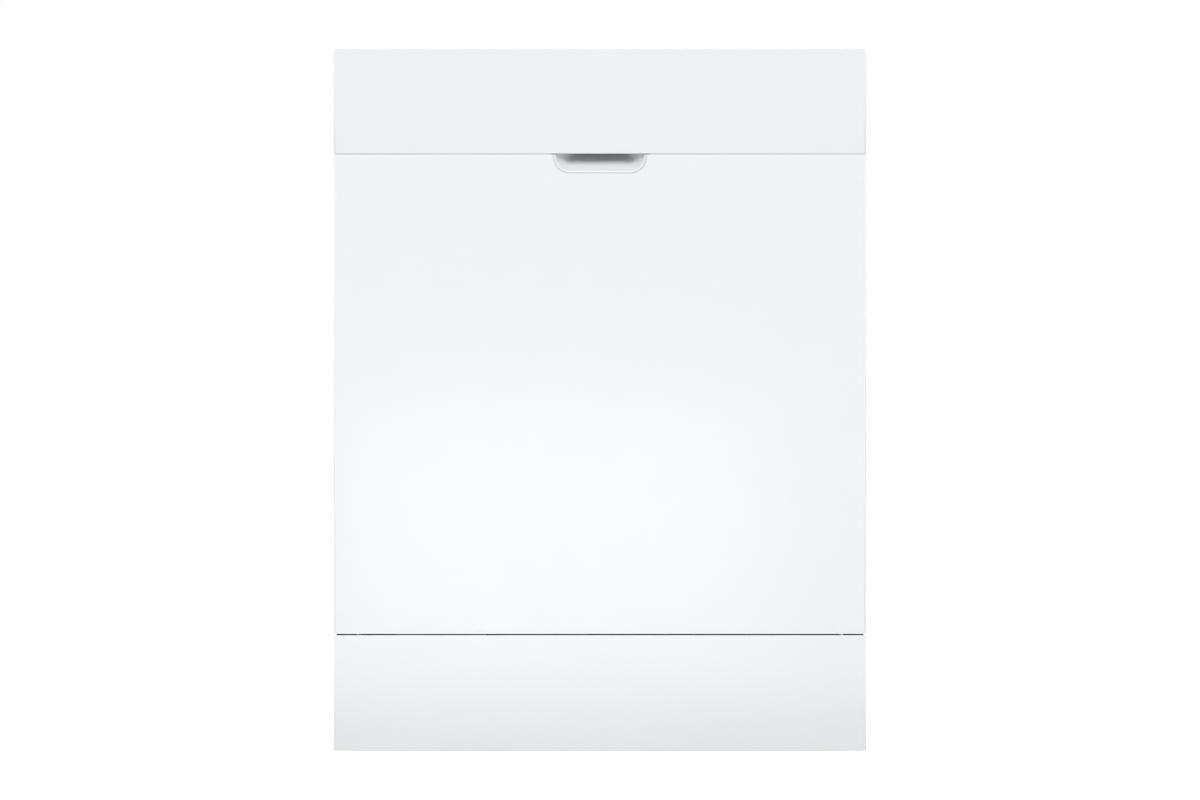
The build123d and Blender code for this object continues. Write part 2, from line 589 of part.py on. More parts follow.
# Door springs, from the base's floor to the hinge arms' levers
SPRING_R = 8.0
SPRING_WIRE = 2.5
SPRING_HOOK = 24.0
SPRING_TOP = HINGE_Z - LEVER_DROP
with BuildPart() as door_springs:
    for side in (-1, 1):
        spring_x = side * (HINGE_X + HINGE_PLATE / 2)
        post(spring_x, HINGE_Y, SPRING_WIRE / 2, (BASE_FLOOR, SPRING_TOP))
        post(spring_x, HINGE_Y, SPRING_R, (BASE_FLOOR + SPRING_HOOK, SPRING_TOP - SPRING_HOOK / 2))
keep(door_springs, "door_springs")


def grip_outline(y, inset):
    """The pocket's outline at a depth: round lower corners, smaller by an inset, up to the fascia."""
    bottom = PANEL_TOP - GRIP_HEIGHT + inset
    with BuildSketch(Plane.XZ.offset(-y)) as outline:
        with Locations((0, (bottom + FASCIA_BOTTOM) / 2)):
            Rectangle(GRIP_WIDTH - 2 * inset, FASCIA_BOTTOM - bottom)
        fillet(outline.vertices().group_by(Axis.Y)[0], GRIP_CORNER * (1 - inset / GRIP_HEIGHT))
    return outline.sketch


# Door outer panel: a folded steel pan, shallow below the hinge line
PAN_CLEAR = 2.0
PAN_STEP = HINGE_Z + PAN_CLEAR
PAN_FLANGE = 15.0
BOTTOM_FLANGE = 6.0
POCKET_RIM = 8.0
POCKET_HALF = GRIP_WIDTH / 2 + POCKET_RIM
LINER_CLEAR = 4.0
LINER_BOTTOM = HINGE_Z + LINER_CLEAR
SCREW_EDGE = 9.5
SCREW_RISE = 44.5
SCREW_DROP = 28.5
SCREW_X = DOOR_HALF - SCREW_EDGE
SCREW_LOW = LINER_BOTTOM + SCREW_RISE
SCREW_HIGH = PANEL_TOP - SCREW_DROP
SCREW_Z = (SCREW_LOW, (SCREW_LOW + SCREW_HIGH) / 2, SCREW_HIGH)
SCREW_R = 1.8
SCREW_HEAD_R = 4.0
SCREW_HEAD = 2.0
SCREW_REACH = 6.0
with BuildPart() as door_outer_panel:
    block((-DOOR_HALF, DOOR_HALF), (FRONT, DOOR_BACK), (DOOR_BOTTOM, PANEL_TOP))
    fillet(door_outer_panel.edges().filter_by(Axis.Z).group_by(Axis.Y)[0], EDGE_ROUND)
    block((SHEET - DOOR_HALF, DOOR_HALF - SHEET), (FRONT + SHEET, DOOR_BACK - SHEET),
          (DOOR_BOTTOM + SHEET, PANEL_TOP - SHEET), mode=Mode.SUBTRACT)
    block((PAN_FLANGE - DOOR_HALF, DOOR_HALF - PAN_FLANGE), (DOOR_BACK - SHEET, DOOR_BACK),
          (DOOR_BOTTOM, PANEL_TOP), mode=Mode.SUBTRACT)
    block((-DOOR_HALF, DOOR_HALF), (HINGE_Y, DOOR_BACK), (DOOR_BOTTOM, PAN_STEP), mode=Mode.SUBTRACT)
    block((SHEET - DOOR_HALF, DOOR_HALF - SHEET), (FRONT + BOTTOM_FLANGE, DOOR_BACK),
          (DOOR_BOTTOM, DOOR_BOTTOM + SHEET), mode=Mode.SUBTRACT)
    block((-POCKET_HALF - GAP, POCKET_HALF + GAP), (FRONT + SHEET, DOOR_BACK),
          (PANEL_TOP - SHEET, PANEL_TOP), mode=Mode.SUBTRACT)
    extrude(grip_outline(FRONT, 0), amount=-SHEET, mode=Mode.SUBTRACT)
    for screw_x in (-SCREW_X, SCREW_X):
        for screw_z in SCREW_Z:
            bar_y(screw_x, screw_z, SCREW_R + RUN, (DOOR_BACK - SHEET, DOOR_BACK), mode=Mode.SUBTRACT)
keep(door_outer_panel, "door_outer_panel")

# Handle pocket: a scoop behind the panel's notch, with a finger slot up behind the fascia
SCOOP_BACK = FRONT + GRIP_SCOOP
SLOT_FLOOR = PANEL_TOP - GRIP_HEIGHT + GRIP_SLOPE
POCKET_BACK = FRONT + SHEET + GRIP_DEPTH
FINGER_TOP = FASCIA_BOTTOM + FINGER_RISE
FINGER_Y = FRONT + FINGER_FRONT
BOWL_HALF = GRIP_WIDTH / 2 + POCKET_WALL
with BuildPart() as handle_pocket:
    block((-POCKET_HALF, POCKET_HALF), (FRONT + SHEET, FRONT + SHEET + POCKET_WALL),
          (PANEL_TOP - GRIP_HEIGHT - POCKET_RIM, PANEL_TOP))
    block((-BOWL_HALF, BOWL_HALF), (FRONT + SHEET, SCOOP_BACK + POCKET_WALL),
          (PANEL_TOP - GRIP_HEIGHT - POCKET_WALL, PANEL_TOP))
    block((-BOWL_HALF, BOWL_HALF), (FRONT + PLASTIC + GAP, SCOOP_BACK + POCKET_WALL),
          (PANEL_TOP, FASCIA_BOTTOM + POCKET_WALL))
    block((-FINGER_WIDTH / 2 - POCKET_WALL, FINGER_WIDTH / 2 + POCKET_WALL),
          (FINGER_Y - POCKET_WALL, POCKET_BACK + POCKET_WALL),
          (SLOT_FLOOR - POCKET_WALL, FINGER_TOP + POCKET_WALL))
    loft([grip_outline(FRONT, 0), grip_outline(SCOOP_BACK, GRIP_SLOPE)], mode=Mode.SUBTRACT)
    extrude(grip_outline(SCOOP_BACK, GRIP_SLOPE), amount=SCOOP_BACK - POCKET_BACK, mode=Mode.SUBTRACT)
    block((-FINGER_WIDTH / 2, FINGER_WIDTH / 2), (FINGER_Y, POCKET_BACK),
          (FASCIA_BOTTOM - POCKET_WALL, FINGER_TOP), mode=Mode.SUBTRACT)
keep(handle_pocket, "handle_pocket")

# Fascia: a moulded front, open at the back and top, with a lip that closes the seam
STRIP = 3.0
BUTTON_RISE = 0.8
STRIP_TOP = HEIGHT - BUTTON_RISE
STRIP_BOTTOM = STRIP_TOP - STRIP
LEDGE = 5.0
LIP = 3.0
with BuildPart() as fascia:
    block((-DOOR_HALF, DOOR_HALF), (FRONT, DOOR_BACK), (FASCIA_BOTTOM, HEIGHT))
    fillet(fascia.edges().filter_by(Axis.Z).group_by(Axis.Y)[0], EDGE_ROUND)
    block((PLASTIC - DOOR_HALF, DOOR_HALF - PLASTIC), (FRONT + PLASTIC, DOOR_BACK),
          (FASCIA_BOTTOM + PLASTIC, HEIGHT), mode=Mode.SUBTRACT)
    block((PLASTIC - DOOR_HALF, DOOR_HALF - PLASTIC), (FRONT + PLASTIC, FRONT + PLASTIC + LEDGE),
          (STRIP_BOTTOM - PLASTIC, STRIP_BOTTOM))
    block((SHEET - DOOR_HALF, DOOR_HALF - SHEET), (FRONT + SHEET, FRONT + SHEET + LIP),
          (PANEL_TOP, FASCIA_BOTTOM))
    block((-BOWL_HALF - GAP, BOWL_HALF + GAP), (FRONT + SHEET, DOOR_BACK), (PANEL_TOP, FASCIA_BOTTOM),
          mode=Mode.SUBTRACT)
    block((-BOWL_HALF - GAP, BOWL_HALF + GAP), (FRONT + PLASTIC, DOOR_BACK),
          (FASCIA_BOTTOM, FASCIA_BOTTOM + PLASTIC), mode=Mode.SUBTRACT)
keep(fascia, "fascia")

# Door liner: the stainless inside of the door, with a raised field
LINER_EDGE = 4.0
LINER_HALF = DOOR_HALF - LINER_EDGE
FIELD_CLEAR = 10.0
FIELD_HALF = TUB_HALF - GASKET - FIELD_CLEAR
FIELD_RISE = 9.0
FIELD_LIFT = 4.0
FIELD_DROP = 6.0
FIELD_Z = (TUB_RIM + FIELD_LIFT, TUB_TOP - GASKET - FIELD_DROP)
FIELD_CORNER = 25.0
FIELD_FACE = DOOR_BACK + SHEET + FIELD_RISE
DISPENSER_HALF = 115.0
DISPENSER_DROP = 142.0
DISPENSER_HIGH = 110.0
DISPENSER_Z = (FIELD_Z[1] - DISPENSER_DROP - DISPENSER_HIGH, FIELD_Z[1] - DISPENSER_DROP)
DISPENSER_FLANGE = 5.0
STRIKE_ROOM = 3.0
with BuildPart() as door_liner:
    block((-LINER_HALF, LINER_HALF), (DOOR_BACK, DOOR_BACK + SHEET), (LINER_BOTTOM, STRIP_BOTTOM))
    with BuildSketch(Plane.XZ.offset(-DOOR_BACK)):
        with Locations((0, (FIELD_Z[0] + FIELD_Z[1]) / 2)):
            RectangleRounded(2 * FIELD_HALF, FIELD_Z[1] - FIELD_Z[0], FIELD_CORNER)
    extrude(amount=-FIELD_RISE - SHEET)
    with BuildSketch(Plane.XZ.offset(-DOOR_BACK)):
        with Locations((0, (FIELD_Z[0] + FIELD_Z[1]) / 2)):
            RectangleRounded(2 * (FIELD_HALF - SHEET), FIELD_Z[1] - FIELD_Z[0] - 2 * SHEET,
                             FIELD_CORNER - SHEET)
    extrude(amount=-FIELD_RISE, mode=Mode.SUBTRACT)
    block((DISPENSER_FLANGE - DISPENSER_HALF - GAP, DISPENSER_HALF - DISPENSER_FLANGE + GAP),
          (DOOR_BACK, FIELD_FACE),
          (DISPENSER_Z[0] + DISPENSER_FLANGE - GAP, DISPENSER_Z[1] - DISPENSER_FLANGE + GAP),
          mode=Mode.SUBTRACT)
    block((-STRIKE_HALF - STRIKE_ROOM, STRIKE_HALF + STRIKE_ROOM), (DOOR_BACK, DOOR_BACK + SHEET),
          (STRIKE_Z[0] - STRIKE_PLATE - STRIKE_ROOM, STRIKE_Z[1] + STRIKE_ROOM), mode=Mode.SUBTRACT)
    for screw_x in (-SCREW_X, SCREW_X):
        for screw_z in SCREW_Z:
            bar_y(screw_x, screw_z, SCREW_R + RUN, (DOOR_BACK, DOOR_BACK + SHEET), mode=Mode.SUBTRACT)
keep(door_liner, "door_liner")

# Screws that hold the liner on the outer panel
with BuildPart() as door_screws:
    for screw_x in (-SCREW_X, SCREW_X):
        for screw_z in SCREW_Z:
            bar_y(screw_x, screw_z, SCREW_R, (DOOR_BACK + SHEET - SCREW_REACH, DOOR_BACK + SHEET))
            bar_y(screw_x, screw_z, SCREW_HEAD_R, (DOOR_BACK + SHEET, DOOR_BACK + SHEET + SCREW_HEAD))
keep(door_screws, "door_screws")

# Hinge arms: a plate on each side of the door, with a lever for the spring
ARM_LEG = 160.0
LEVER_HALF = 6.0
with BuildPart() as hinge_arms:
    for side in (-1, 1):
        with BuildSketch(Plane.YZ.offset(side * (HINGE_X + HINGE_PLATE / 2))) as outline:
            with BuildLine():
                Polyline((HINGE_Y - LEVER_HALF, SPRING_TOP), (HINGE_Y + LEVER_HALF, SPRING_TOP),
                         (HINGE_Y + LEVER_HALF, HINGE_Z), (DOOR_BACK, HINGE_Z + HINGE_EYE_R + HINGE_PLATE),
                         (DOOR_BACK, HINGE_Z + ARM_LEG), (DOOR_BACK - 2 * LEVER_HALF, HINGE_Z + ARM_LEG),
                         (HINGE_Y - LEVER_HALF, HINGE_Z + 2 * HINGE_EYE_R), close=True)
            make_face()
            with Locations((HINGE_Y, HINGE_Z)):
                Circle(HINGE_EYE_R)
                Circle(PIN_R + RUN, mode=Mode.SUBTRACT)
        extrude(amount=HINGE_PLATE / 2, both=True)
keep(hinge_arms, "hinge_arms")

# Latch housing behind the liner's slot, hollow for the strike
LATCH_HALF = 40.0
LATCH_DEPTH = 32.0
LATCH_HIGH = 38.0
LATCH_BOTTOM = STRIP_BOTTOM - GAP - LATCH_HIGH
with BuildPart() as door_latch:
    block((-LATCH_HALF, LATCH_HALF), (DOOR_BACK - LATCH_DEPTH, DOOR_BACK), (LATCH_BOTTOM, STRIP_BOTTOM - GAP))
    block((-STRIKE_HALF - STRIKE_ROOM, STRIKE_HALF + STRIKE_ROOM),
          (DOOR_BACK - STRIKE_REACH - STRIKE_ROOM, DOOR_BACK),
          (STRIKE_Z[0] - STRIKE_PLATE - STRIKE_ROOM, STRIKE_Z[1] + STRIKE_ROOM), mode=Mode.SUBTRACT)
keep(door_latch, "door_latch")

# Control strip on the door's top edge, with its window and buttons
STRIP_Y = (FRONT + PLASTIC + GAP, DOOR_BACK + SHEET)
CONTROL_SETBACK = 23.0
CONTROL_Y = FRONT + CONTROL_SETBACK
MODULE_LATCH_GAP = 15.0
MODULE_LONG = 200.0
MODULE_HIGH = 37.0
MODULE_POST = 4.0
MODULE_HALF = 13.0
MODULE_CLEAR = 1.0
MODULE_ROUND = 3.0
MODULE_RIGHT = -LATCH_HALF - MODULE_LATCH_GAP
MODULE_X = (MODULE_RIGHT - MODULE_LONG, MODULE_RIGHT)
BUTTON_INSET = 15.0
BUTTON_PITCH = 35.0
START_INSET = 20.0
BUTTON_LEFT = MODULE_X[0] + BUTTON_INSET
BUTTON_X = {
    "power_button": BUTTON_LEFT,
    "program_button": BUTTON_LEFT + BUTTON_PITCH,
    "option_button": BUTTON_LEFT + 2 * BUTTON_PITCH,
    "start_button": MODULE_RIGHT - START_INSET,
}
BUTTON = (16.0, 9.0)
BUTTON_ROUND = 2.0
BUTTON_FLANGE = 1.5
BUTTON_TRAVEL = 1.5
WINDOW_INSET = 20.0
WINDOW_X = (BUTTON_X["option_button"] + WINDOW_INSET, BUTTON_X["start_button"] - WINDOW_INSET)
WINDOW_DEPTH = 16.0
WINDOW = 1.5
BUTTON_BOTTOM = STRIP_BOTTOM - GAP - BUTTON_FLANGE
MODULE_TOP = BUTTON_BOTTOM - BUTTON_TRAVEL - MODULE_CLEAR
MODULE_BOTTOM = MODULE_TOP - MODULE_HIGH
with BuildPart() as control_strip:
    block((PLASTIC + GAP - DOOR_HALF, DOOR_HALF - PLASTIC - GAP), STRIP_Y, (STRIP_BOTTOM, STRIP_TOP))
    for button_x in BUTTON_X.values():
        block((button_x - BUTTON[0] / 2 - GAP, button_x + BUTTON[0] / 2 + GAP),
              (CONTROL_Y - BUTTON[1] / 2 - GAP, CONTROL_Y + BUTTON[1] / 2 + GAP),
              (STRIP_BOTTOM, STRIP_TOP), mode=Mode.SUBTRACT)
    block((WINDOW_X[0] - GAP, WINDOW_X[1] + GAP),
          (CONTROL_Y - WINDOW_DEPTH / 2 - GAP, CONTROL_Y + WINDOW_DEPTH / 2 + GAP),
          (STRIP_TOP - WINDOW, STRIP_TOP), mode=Mode.SUBTRACT)
    for post_x in (MODULE_X[0], MODULE_X[1] - MODULE_POST):
        block((post_x, post_x + MODULE_POST), (CONTROL_Y - MODULE_POST, CONTROL_Y + MODULE_POST),
              (MODULE_TOP, STRIP_BOTTOM))
keep(control_strip, "control_strip")

with BuildPart() as display_window:
    block(WINDOW_X, (CONTROL_Y - WINDOW_DEPTH / 2, CONTROL_Y + WINDOW_DEPTH / 2),
          (STRIP_TOP - WINDOW, STRIP_TOP))
keep(display_window, "display_window")

for button_name, button_x in BUTTON_X.items():
    with BuildPart() as button:
        block((button_x - BUTTON[0] / 2, button_x + BUTTON[0] / 2),
              (CONTROL_Y - BUTTON[1] / 2, CONTROL_Y + BUTTON[1] / 2), (BUTTON_BOTTOM, HEIGHT))
        fillet(button.edges().filter_by(Axis.Z), BUTTON_ROUND)
        block((button_x - BUTTON[0] / 2 - SHEET, button_x + BUTTON[0] / 2 + SHEET),
              (CONTROL_Y - BUTTON[1] / 2 - SHEET, CONTROL_Y + BUTTON[1] / 2 + SHEET),
              (BUTTON_BOTTOM, BUTTON_BOTTOM + BUTTON_FLANGE))
    keep(button, button_name)

with BuildPart() as control_module:
    block(MODULE_X, (CONTROL_Y - MODULE_HALF, CONTROL_Y + MODULE_HALF), (MODULE_BOTTOM, MODULE_TOP))
    fillet(control_module.edges().filter_by(Axis.Y), MODULE_ROUND)
keep(control_module, "control_module")

# Dispenser in the liner's field, with a sliding lid over the detergent cup and a cap for rinse aid
DISPENSER_PLATE = 2.0
DISPENSER_DEPTH = 34.0
DISPENSER_WALL = 3.0
DISPENSER_ROUND = 4.0
PLATE_FACE = FIELD_FACE + DISPENSER_PLATE
CUP_X = (-105.0, -25.0)
CUP_INSET = 12.0
LID_RAIL = 5.0
LID = 2.0
LID_LIP = 3.0
LID_LIP_WALL = 1.4
LID_OVERLAP = 4.0
LID_TRAVEL = 75.0
LID_Y = (PLATE_FACE + GAP, PLATE_FACE + GAP + LID)
RAIL_FACE = LID_Y[1] + GAP + LID_LIP_WALL
RINSE_X = 85.0
RINSE_R = 18.0
RINSE_PLUG_R = 12.0
RINSE_PLUG = 8.0
RINSE_CAP = 4.0
RINSE_GRIP_INSET = 3.0
RINSE_GRIP_RISE = 1.0
RINSE_GRIP_HALF = 2.5
RINSE_Z = (DISPENSER_Z[0] + DISPENSER_Z[1]) / 2
with BuildPart() as dispenser:
    block((-DISPENSER_HALF, DISPENSER_HALF), (FIELD_FACE, PLATE_FACE), DISPENSER_Z)
    block((DISPENSER_FLANGE - DISPENSER_HALF, DISPENSER_HALF - DISPENSER_FLANGE),
          (FIELD_FACE - DISPENSER_DEPTH, FIELD_FACE),
          (DISPENSER_Z[0] + DISPENSER_FLANGE, DISPENSER_Z[1] - DISPENSER_FLANGE))
    fillet(dispenser.edges().filter_by(Axis.Y), DISPENSER_ROUND)
    for rail_z, lip_z in ((DISPENSER_Z[0], DISPENSER_Z[0] + LID_RAIL),
                          (DISPENSER_Z[1] - LID_RAIL, DISPENSER_Z[1] - LID_RAIL - LID_LIP)):
        block((CUP_X[0] - LID_OVERLAP, CUP_X[1] + LID_TRAVEL), (PLATE_FACE, RAIL_FACE),
              (rail_z, rail_z + LID_RAIL))
        block((CUP_X[0] - LID_OVERLAP, CUP_X[1] + LID_TRAVEL), (RAIL_FACE - LID_LIP_WALL, RAIL_FACE),
              (lip_z, lip_z + LID_LIP))
    block(CUP_X, (FIELD_FACE - DISPENSER_DEPTH + DISPENSER_WALL, PLATE_FACE),
          (DISPENSER_Z[0] + CUP_INSET, DISPENSER_Z[1] - CUP_INSET), mode=Mode.SUBTRACT)
    bar_y(RINSE_X, RINSE_Z, RINSE_PLUG_R + RUN, (PLATE_FACE - RINSE_PLUG, PLATE_FACE), mode=Mode.SUBTRACT)
keep(dispenser, "dispenser")

with BuildPart() as dispenser_lid:
    block((CUP_X[0] - LID_OVERLAP, CUP_X[1] + LID_OVERLAP), LID_Y,
          (DISPENSER_Z[0] + LID_RAIL + GAP, DISPENSER_Z[1] - LID_RAIL - GAP))
keep(dispenser_lid, "dispenser_lid")

with BuildPart() as rinse_aid_cap:
    bar_y(RINSE_X, RINSE_Z, RINSE_R, (PLATE_FACE + GAP, PLATE_FACE + GAP + RINSE_CAP))
    bar_y(RINSE_X, RINSE_Z, RINSE_PLUG_R, (PLATE_FACE + GAP - RINSE_PLUG, PLATE_FACE + GAP))
    block((RINSE_X - RINSE_R + RINSE_GRIP_INSET, RINSE_X + RINSE_R - RINSE_GRIP_INSET),
          (PLATE_FACE + GAP, RAIL_FACE + RINSE_GRIP_RISE),
          (RINSE_Z - RINSE_GRIP_HALF, RINSE_Z + RINSE_GRIP_HALF))
keep(rinse_aid_cap, "rinse_aid_cap")

# Racks: sizes shared by the two
WIRE = 4.0
RACK_CLEAR = 14.0
RACK_FRONT = BODY_FRONT + RACK_CLEAR
RACK_REAR = BASIN_REAR - RACK_CLEAR
RACK_PITCH = 54.0
TINE_R = 2.0
TINE_PITCH = 45.0


def grille(plane, width, height):
    """Add to the part a flat welded grid, one wire thick, centred on a plane."""
    columns = round((width - WIRE) / RACK_PITCH)
    rows = round((height - WIRE) / RACK_PITCH)
    pitch_x = (width - WIRE) / columns
    pitch_y = (height - WIRE) / rows
    with BuildSketch(plane) as grid:
        Rectangle(width, height)
        with GridLocations(pitch_x, pitch_y, columns, rows):
            Rectangle(pitch_x - WIRE, pitch_y - WIRE, mode=Mode.SUBTRACT)
    extrude(grid.sketch, amount=WIRE / 2, both=True)


def wire_rack(half, front, rear, floor, top):
    """Add to the part a wire basket: a floor and four walls, outer faces at the given limits."""
    middle_y = (front + rear) / 2
    middle_z = (floor + top) / 2
    grille(Plane((0, middle_y, floor + WIRE / 2)), 2 * half, rear - front)
    for side in (-1, 1):
        wall = Plane((side * (half - WIRE / 2), middle_y, middle_z), x_dir=(0, 1, 0), z_dir=(1, 0, 0))
        grille(wall, rear - front, top - floor)
    for wall_y in (front + WIRE / 2, rear - WIRE / 2):
        wall = Plane((0, wall_y, middle_z), x_dir=(1, 0, 0), z_dir=(0, -1, 0))
        grille(wall, 2 * half, top - floor)


# Telescopic rails of the upper rack: outer on the tub, inner on the rack
RAIL_DROP = 193.0
RAIL_FRONT_GAP = 7.0
RAIL_REAR_GAP = 11.0
RAIL_HALF = 15.0
RAIL_WALL = 4.0
RAIL_GROOVE = 7.0
RAIL_STEP = 6.0
RAIL_INNER_STEP = 8.0
GASKET_CLEAR = 1.0
RAIL_Z = TUB_TOP - RAIL_DROP
RAIL_Y = (RACK_FRONT + RAIL_FRONT_GAP, RACK_REAR - RAIL_REAR_GAP)
MIDDLE_BACK_X = TUB_HALF - GASKET - GASKET_CLEAR
OUTER_GROOVE_X = MIDDLE_BACK_X + GAP
OUTER_RAIL_X = OUTER_GROOVE_X - RAIL_GROOVE
MIDDLE_RAIL_X = OUTER_RAIL_X - RAIL_STEP
MIDDLE_GROOVE_X = MIDDLE_RAIL_X + RAIL_GROOVE
INNER_BACK_X = MIDDLE_GROOVE_X - GAP
INNER_RAIL_X = MIDDLE_RAIL_X - RAIL_INNER_STEP
MIDDLE_HALF = RAIL_HALF - RAIL_WALL - GAP
INNER_HALF = MIDDLE_HALF - RAIL_WALL


def rail(near, far, half, mode=Mode.ADD):
    """Add to the part, or cut, a rail bar on each side between two distances from the middle."""
    for side in (-1, 1):
        block((min(side * near, side * far), max(side * near, side * far)), RAIL_Y,
              (RAIL_Z - half, RAIL_Z + half), mode=mode)


with BuildPart() as outer_rails:
    rail(OUTER_RAIL_X, TUB_HALF, RAIL_HALF)
    rail(OUTER_RAIL_X, OUTER_GROOVE_X, MIDDLE_HALF + GAP, mode=Mode.SUBTRACT)
keep(outer_rails, "outer_rails")

with BuildPart() as middle_rails:
    rail(MIDDLE_RAIL_X, MIDDLE_BACK_X, MIDDLE_HALF)
    rail(MIDDLE_RAIL_X, MIDDLE_GROOVE_X, INNER_HALF + GAP, mode=Mode.SUBTRACT)
keep(middle_rails, "middle_rails")

LUG_OUT = 3.3
LUG_FORE = 75.0
LUG_AFT = 85.0
LUG = 30.0
UPPER_HALF = INNER_RAIL_X - LUG_OUT
LUG_Y = (RAIL_Y[0] + LUG_FORE, RAIL_Y[1] - LUG_AFT)
with BuildPart() as inner_rails:
    rail(INNER_RAIL_X, INNER_BACK_X, INNER_HALF)
    for side in (-1, 1):
        for lug_y in LUG_Y:
            block((min(side * UPPER_HALF, side * INNER_RAIL_X), max(side * UPPER_HALF, side * INNER_RAIL_X)),
                  (lug_y - LUG / 2, lug_y + LUG / 2), (RAIL_Z - INNER_HALF, RAIL_Z + INNER_HALF))
keep(inner_rails, "inner_rails")

# Upper rack, with two lugs for the cup shelf's rod
UPPER_DROP = 70.0
UPPER_RISE = 60.0
UPPER_FLOOR = RAIL_Z - UPPER_DROP
UPPER_TOP = RAIL_Z + UPPER_RISE
UPPER_FRONT = RAIL_Y[0]
UPPER_REAR = RAIL_Y[1]
UPPER_ROWS = round((UPPER_REAR - UPPER_FRONT - WIRE) / RACK_PITCH)
UPPER_PITCH = (UPPER_REAR - UPPER_FRONT - WIRE) / UPPER_ROWS
SHELF_ROD_R = 2.0
SHELF_OFFSET = 9.0
SHELF_RISE = 30.0
SHELF_ROD_X = SHELF_OFFSET - UPPER_HALF
SHELF_Z = RAIL_Z + SHELF_RISE
SHELF_REACH = 96.0
SHELF_LUG = 6.0
SHELF_LUG_Y = (UPPER_FRONT + WIRE / 2 + 2 * UPPER_PITCH, UPPER_REAR - WIRE / 2 - 2 * UPPER_PITCH)
with BuildPart() as upper_rack:
    for lug_y in SHELF_LUG_Y:
        block((-UPPER_HALF, SHELF_ROD_X + WIRE), (lug_y - SHELF_LUG / 2, lug_y + SHELF_LUG / 2),
              (SHELF_Z - WIRE, SHELF_Z + WIRE))
        bar_y(SHELF_ROD_X, SHELF_Z, SHELF_ROD_R + RUN, (lug_y - SHELF_LUG, lug_y + SHELF_LUG),
              mode=Mode.SUBTRACT)
    wire_rack(UPPER_HALF, UPPER_FRONT, UPPER_REAR, UPPER_FLOOR, UPPER_TOP)
keep(upper_rack, "upper_rack")

# Cup shelf, on a rod along the upper rack's left wall
SHELF_MIDDLE = (SHELF_LUG_Y[0] + SHELF_LUG_Y[1]) / 2
SHELF_LENGTH = SHELF_LUG_Y[1] - SHELF_LUG_Y[0] - 2 * SHELF_LUG
with BuildPart() as cup_shelf:
    bar_y(SHELF_ROD_X, SHELF_Z, SHELF_ROD_R, (SHELF_LUG_Y[0] - SHELF_LUG, SHELF_LUG_Y[1] + SHELF_LUG))
    grille(Plane((SHELF_ROD_X + SHELF_REACH / 2, SHELF_MIDDLE, SHELF_Z)), SHELF_REACH, SHELF_LENGTH)
keep(cup_shelf, "cup_shelf")

# Feed duct on the tub's rear wall, with the port that the upper rack docks on
PIPE_HALF = 12.0
PIPE_HIGH = 14.0
PIPE_Z = UPPER_FLOOR - PIPE_HIGH / 2
PIPE_ROUND = 8.0
DUCT_HALF = 25.0
DUCT_RISE = 30.0
DUCT_ROUND = 5.0
DUCT_TOP = PIPE_Z + DUCT_RISE
DOCK = 12.0
DOCK_FACE = BASIN_REAR - DOCK
DOCK_R = 9.0
with BuildPart() as feed_duct:
    block((-DUCT_HALF, DUCT_HALF), (BASIN_REAR, TUB_REAR), (TUB_RIM, DUCT_TOP))
    fillet(feed_duct.edges().filter_by(Axis.Z).group_by(Axis.Y)[0], DUCT_ROUND)
    bar_y(0, PIPE_Z, DOCK_R, (DOCK_FACE, BASIN_REAR))
keep(feed_duct, "feed_duct")

# Upper feed pipe under the upper rack's floor, with the spigot of the upper spray arm
UPPER_ARM_Y = (UPPER_FRONT + UPPER_REAR) / 2
UPPER_ARM_INSET = 15.0
UPPER_ARM_R = (UPPER_REAR - UPPER_FRONT) / 2 - UPPER_ARM_INSET
UPPER_ARM_WIDTH = 40.0
UPPER_ARM_DROP = 1.0
UPPER_HUB = 5.0
PIPE_BOTTOM = UPPER_FLOOR - PIPE_HIGH
UPPER_ARM_BOTTOM = PIPE_BOTTOM - UPPER_ARM_DROP - ARM_THICK
UPPER_HUB_BOTTOM = UPPER_ARM_BOTTOM - UPPER_HUB
NUT = 4.0
with BuildPart() as upper_feed_pipe:
    block((-PIPE_HALF, PIPE_HALF), (UPPER_ARM_Y - PIPE_HALF, DOCK_FACE - GAP), (PIPE_BOTTOM, UPPER_FLOOR))
    fillet(upper_feed_pipe.edges().filter_by(Axis.Z).group_by(Axis.Y)[0], PIPE_ROUND)
    post(0, UPPER_ARM_Y, SPIGOT_R, (UPPER_HUB_BOTTOM - GAP, PIPE_BOTTOM))
    post(0, UPPER_ARM_Y, SPIGOT_R + NUT, (UPPER_HUB_BOTTOM - GAP - NUT, UPPER_HUB_BOTTOM - GAP))
keep(upper_feed_pipe, "upper_feed_pipe")

with BuildPart() as upper_spray_arm:
    spray_arm(0, UPPER_ARM_Y, UPPER_ARM_BOTTOM, UPPER_HUB_BOTTOM, UPPER_ARM_R, UPPER_ARM_WIDTH)
    post(0, UPPER_ARM_Y, SPIGOT_R + RUN, (UPPER_HUB_BOTTOM, UPPER_ARM_BOTTOM + ARM_THICK), mode=Mode.SUBTRACT)
keep(upper_spray_arm, "upper_spray_arm")

